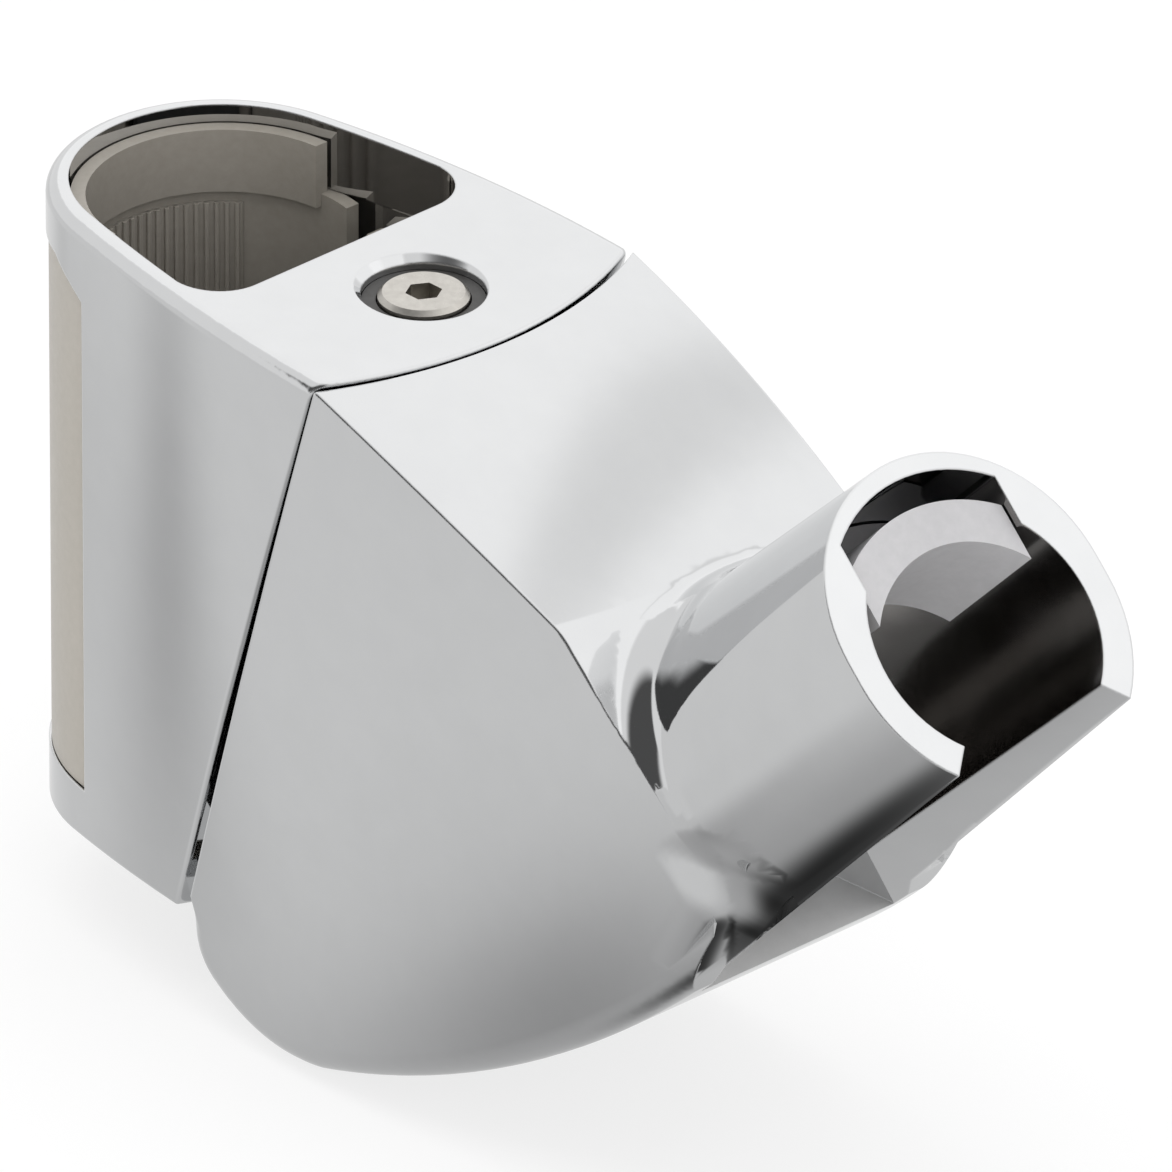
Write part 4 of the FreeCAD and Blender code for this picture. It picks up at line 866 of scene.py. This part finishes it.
def makeStage(settings):
    mesh = bpy.data.meshes.new("floor")
    half = settings["floorSize"] / 2
    corners = [(x * half, y * half, floorLevel) for x, y in ((-1, -1), (1, -1), (1, 1), (-1, 1))]
    mesh.from_pydata(corners, [], [(0, 1, 2, 3)])
    floor = bpy.data.objects.new("floor", mesh)
    scene.collection.objects.link(floor)
    material = bpy.data.materials.new("paleFloor")
    material.use_nodes = True
    tree = material.node_tree
    shader = tree.nodes["Principled BSDF"]
    setInputs(shader, Base_Color=(0.9, 0.9, 0.9, 1), Roughness=0.9)
    white = newNode(tree, "ShaderNodeEmission", 0, 200)
    setInputs(white, Color=(1, 1, 1, 1), Strength=1.0)
    share = newNode(tree, "ShaderNodeMath", 100, 400, operation="MULTIPLY")
    share.inputs[1].default_value = settings["plainWhite"]
    blend = newNode(tree, "ShaderNodeMixShader", 300, 100)
    output = tree.nodes["Material Output"]
    output.location = (600, 100)
    links = tree.links
    links.new(seenDirectly(tree, -600, 400), share.inputs[0])
    links.new(share.outputs[0], blend.inputs[0])
    links.new(shader.outputs[0], blend.inputs[1])
    links.new(white.outputs[0], blend.inputs[2])
    links.new(blend.outputs[0], output.inputs["Surface"])
    mesh.materials.append(material)

    world = bpy.data.worlds.new("studio")
    scene.world = world
    world.use_nodes = True
    tree = world.node_tree
    light = tree.nodes["Background"]
    setInputs(light, Color=(1, 1, 1, 1), Strength=settings["worldLight"])
    plain = newNode(tree, "ShaderNodeBackground", 0, -200)
    setInputs(plain, Color=(1, 1, 1, 1), Strength=1.0)
    blend = newNode(tree, "ShaderNodeMixShader", 300, 0)
    output = tree.nodes["World Output"]
    links = tree.links
    links.new(seenDirectly(tree, -600, 300), blend.inputs[0])
    links.new(light.outputs[0], blend.inputs[1])
    links.new(plain.outputs[0], blend.inputs[2])
    links.new(blend.outputs[0], output.inputs["Surface"])


makeStage(stageSettings)


def addLamp(name, place, target, size, power):
    light = bpy.data.lights.new(name, "AREA")
    light.shape = "RECTANGLE"
    light.size, light.size_y = size
    light.energy = power
    lamp = bpy.data.objects.new(name, light)
    scene.collection.objects.link(lamp)
    lamp.location = place
    lamp.rotation_euler = (Vector(place) - Vector(target)).to_track_quat("Z", "Y").to_euler()
    lamp.visible_glossy = False
    lamp.visible_camera = False


lampSettings = {
    "topSoft": {"place": (0.1, -0.1, 1.0), "size": (0.9, 0.9), "power": 5},
    "frontSoft": {"place": (0.9, -0.5, 0.35), "size": (0.7, 0.7), "power": 3},
}
for name, lamp in lampSettings.items():
    addLamp(name, lamp["place"], cameraSettings["target"], lamp["size"], lamp["power"])
print("lights set")


# Cards that only reflections see, soft at their edges, with darker or brighter spots on them
def addCard(name, centre, away, size, tone, edge, spots):
    mesh = bpy.data.meshes.new(name)
    halfWide, halfHigh = size[0] / 2, size[1] / 2
    corners = [(x * halfWide, y * halfHigh, 0) for x, y in ((-1, -1), (1, -1), (1, 1), (-1, 1))]
    mesh.from_pydata(corners, [], [(0, 1, 2, 3)])
    card = bpy.data.objects.new(name, mesh)
    scene.collection.objects.link(card)
    card.location = centre
    away = Vector(away).normalized()
    right = Vector((0, 0, 1)).cross(away) if abs(away.z) < 0.99 else Vector((1, 0, 0))
    right.normalize()
    card.rotation_euler = Matrix((right, away.cross(right), away)).transposed().to_euler()
    material = bpy.data.materials.new(f"{name}Tone")
    material.use_nodes = True
    tree = material.node_tree
    links = tree.links
    tree.nodes.remove(tree.nodes["Principled BSDF"])
    place = newNode(tree, "ShaderNodeTexCoord", -1400, 0)
    glow = newNode(tree, "ShaderNodeEmission", 0, 0)
    setInputs(glow, Strength=tone)
    level = None
    for number, spot in enumerate(spots):
        y = 200 - number * 300
        shape = newNode(tree, "ShaderNodeMapping", -1200, y, vector_type="TEXTURE")
        setInputs(shape, Location=(*spot["at"], 0), Scale=(*spot["reach"], 1))
        setInputs(shape, Rotation=(0, 0, math.radians(spot.get("turn", 0))))
        far = newNode(tree, "ShaderNodeVectorMath", -1000, y, operation="LENGTH")
        square = newNode(tree, "ShaderNodeMath", -850, y, operation="POWER")
        square.inputs[1].default_value = spot.get("power", 2.0)
        halved = newNode(tree, "ShaderNodeMath", -700, y, operation="MULTIPLY")
        halved.inputs[1].default_value = -0.5
        fall = newNode(tree, "ShaderNodeMath", -550, y, operation="EXPONENT")
        add = newNode(tree, "ShaderNodeMath", -350, y, operation="MULTIPLY_ADD")
        add.inputs[1].default_value = spot["change"]
        links.new(place.outputs["Object"], shape.inputs["Vector"])
        links.new(shape.outputs[0], far.inputs[0])
        links.new(far.outputs["Value"], square.inputs[0])
        links.new(square.outputs[0], halved.inputs[0])
        links.new(halved.outputs[0], fall.inputs[0])
        links.new(fall.outputs[0], add.inputs[0])
        add.inputs[2].default_value = tone
        if level:
            links.new(level, add.inputs[2])
        level = add.outputs[0]
    parted = newNode(tree, "ShaderNodeSeparateXYZ", -1200, 600)
    links.new(place.outputs["Object"], parted.inputs[0])
    cover = None
    for axis, half in (("X", halfWide), ("Y", halfHigh)):
        side = newNode(tree, "ShaderNodeMath", -1000, 600, operation="ABSOLUTE")
        ramp = newNode(tree, "ShaderNodeMapRange", -800, 600, interpolation_type="SMOOTHSTEP")
        setInputs(ramp, From_Min=half - edge, From_Max=half, To_Min=1.0, To_Max=0.0)
        links.new(parted.outputs[axis], side.inputs[0])
        links.new(side.outputs[0], ramp.inputs["Value"])
        if cover is None:
            cover = ramp.outputs[0]
        else:
            both = newNode(tree, "ShaderNodeMath", -600, 600, operation="MULTIPLY")
            links.new(cover, both.inputs[0])
            links.new(ramp.outputs[0], both.inputs[1])
            cover = both.outputs[0]
    clear = newNode(tree, "ShaderNodeBsdfTransparent", 0, -150)
    blend = newNode(tree, "ShaderNodeMixShader", 200, 0)
    if level:
        links.new(level, glow.inputs["Strength"])
    links.new(cover, blend.inputs[0])
    links.new(clear.outputs[0], blend.inputs[1])
    links.new(glow.outputs[0], blend.inputs[2])
    links.new(blend.outputs[0], tree.nodes["Material Output"].inputs["Surface"])
    mesh.materials.append(material)
    card.visible_camera = False
    card.visible_diffuse = False
    card.visible_shadow = False


def towards(azimuth, elevation, distance):
    turn, rise = math.radians(azimuth), math.radians(elevation)
    way = Vector((math.sin(turn) * math.cos(rise), -math.cos(turn) * math.cos(rise), math.sin(rise)))
    return way * distance


cardSettings = {
    "floorShade": {
        "centre": (0.0, 0.0, floorLevel + 0.0002), "away": (0, 0, 1), "size": (5.0, 5.0), "tone": 0.85, "edge": 0.5,
        "spots": [
            {"at": (0.092, -0.019), "reach": (0.018, 0.014), "change": -0.46, "power": 4.0},
            {"at": (0.080, -0.030), "reach": (0.036, 0.036), "change": -0.38},
            {"at": (0.043, -0.050), "reach": (0.012, 0.020), "change": -0.22},
            {"at": (-0.060, -0.058), "reach": (0.06, 0.007), "turn": 28, "change": -0.24},
            {"at": (-0.110, -0.030), "reach": (0.05, 0.02), "change": -0.12},
        ],
    },
    "skyPanel": {
        "centre": tuple(towards(180, 50, 2.0)), "away": tuple(towards(0, -50, 1.0)), "size": (6.0, 3.4),
        "tone": 1.3, "edge": 0.3,
        "spots": [{"at": (-0.045, 0.0), "reach": (0.075, 0.9), "turn": -26, "change": -0.27, "power": 3.0}],
    },
    "rimPanel": {
        "centre": tuple(towards(143, 38, 1.8)), "away": tuple(towards(-37, -38, 1.0)), "size": (0.8, 0.6),
        "tone": 1.42, "edge": 0.2, "spots": [],
    },
    "frontShade": {
        "centre": tuple(towards(20, 36, 1.3)), "away": tuple(towards(-160, -36, 1.0)), "size": (3.6, 1.6),
        "tone": 0.1, "edge": 0.3, "spots": [],
    },
    "darkWall": {
        "centre": tuple(towards(48, -22, 0.5)), "away": tuple(towards(-132, 22, 1.0)), "size": (1.3, 0.62),
        "tone": 0.05, "edge": 0.06, "spots": [],
    },
}
for name, card in cardSettings.items():
    addCard(name, card["centre"], card["away"], card["size"], card["tone"], card["edge"], card["spots"])
print("cards set")

scene.view_settings.view_transform = "Standard"
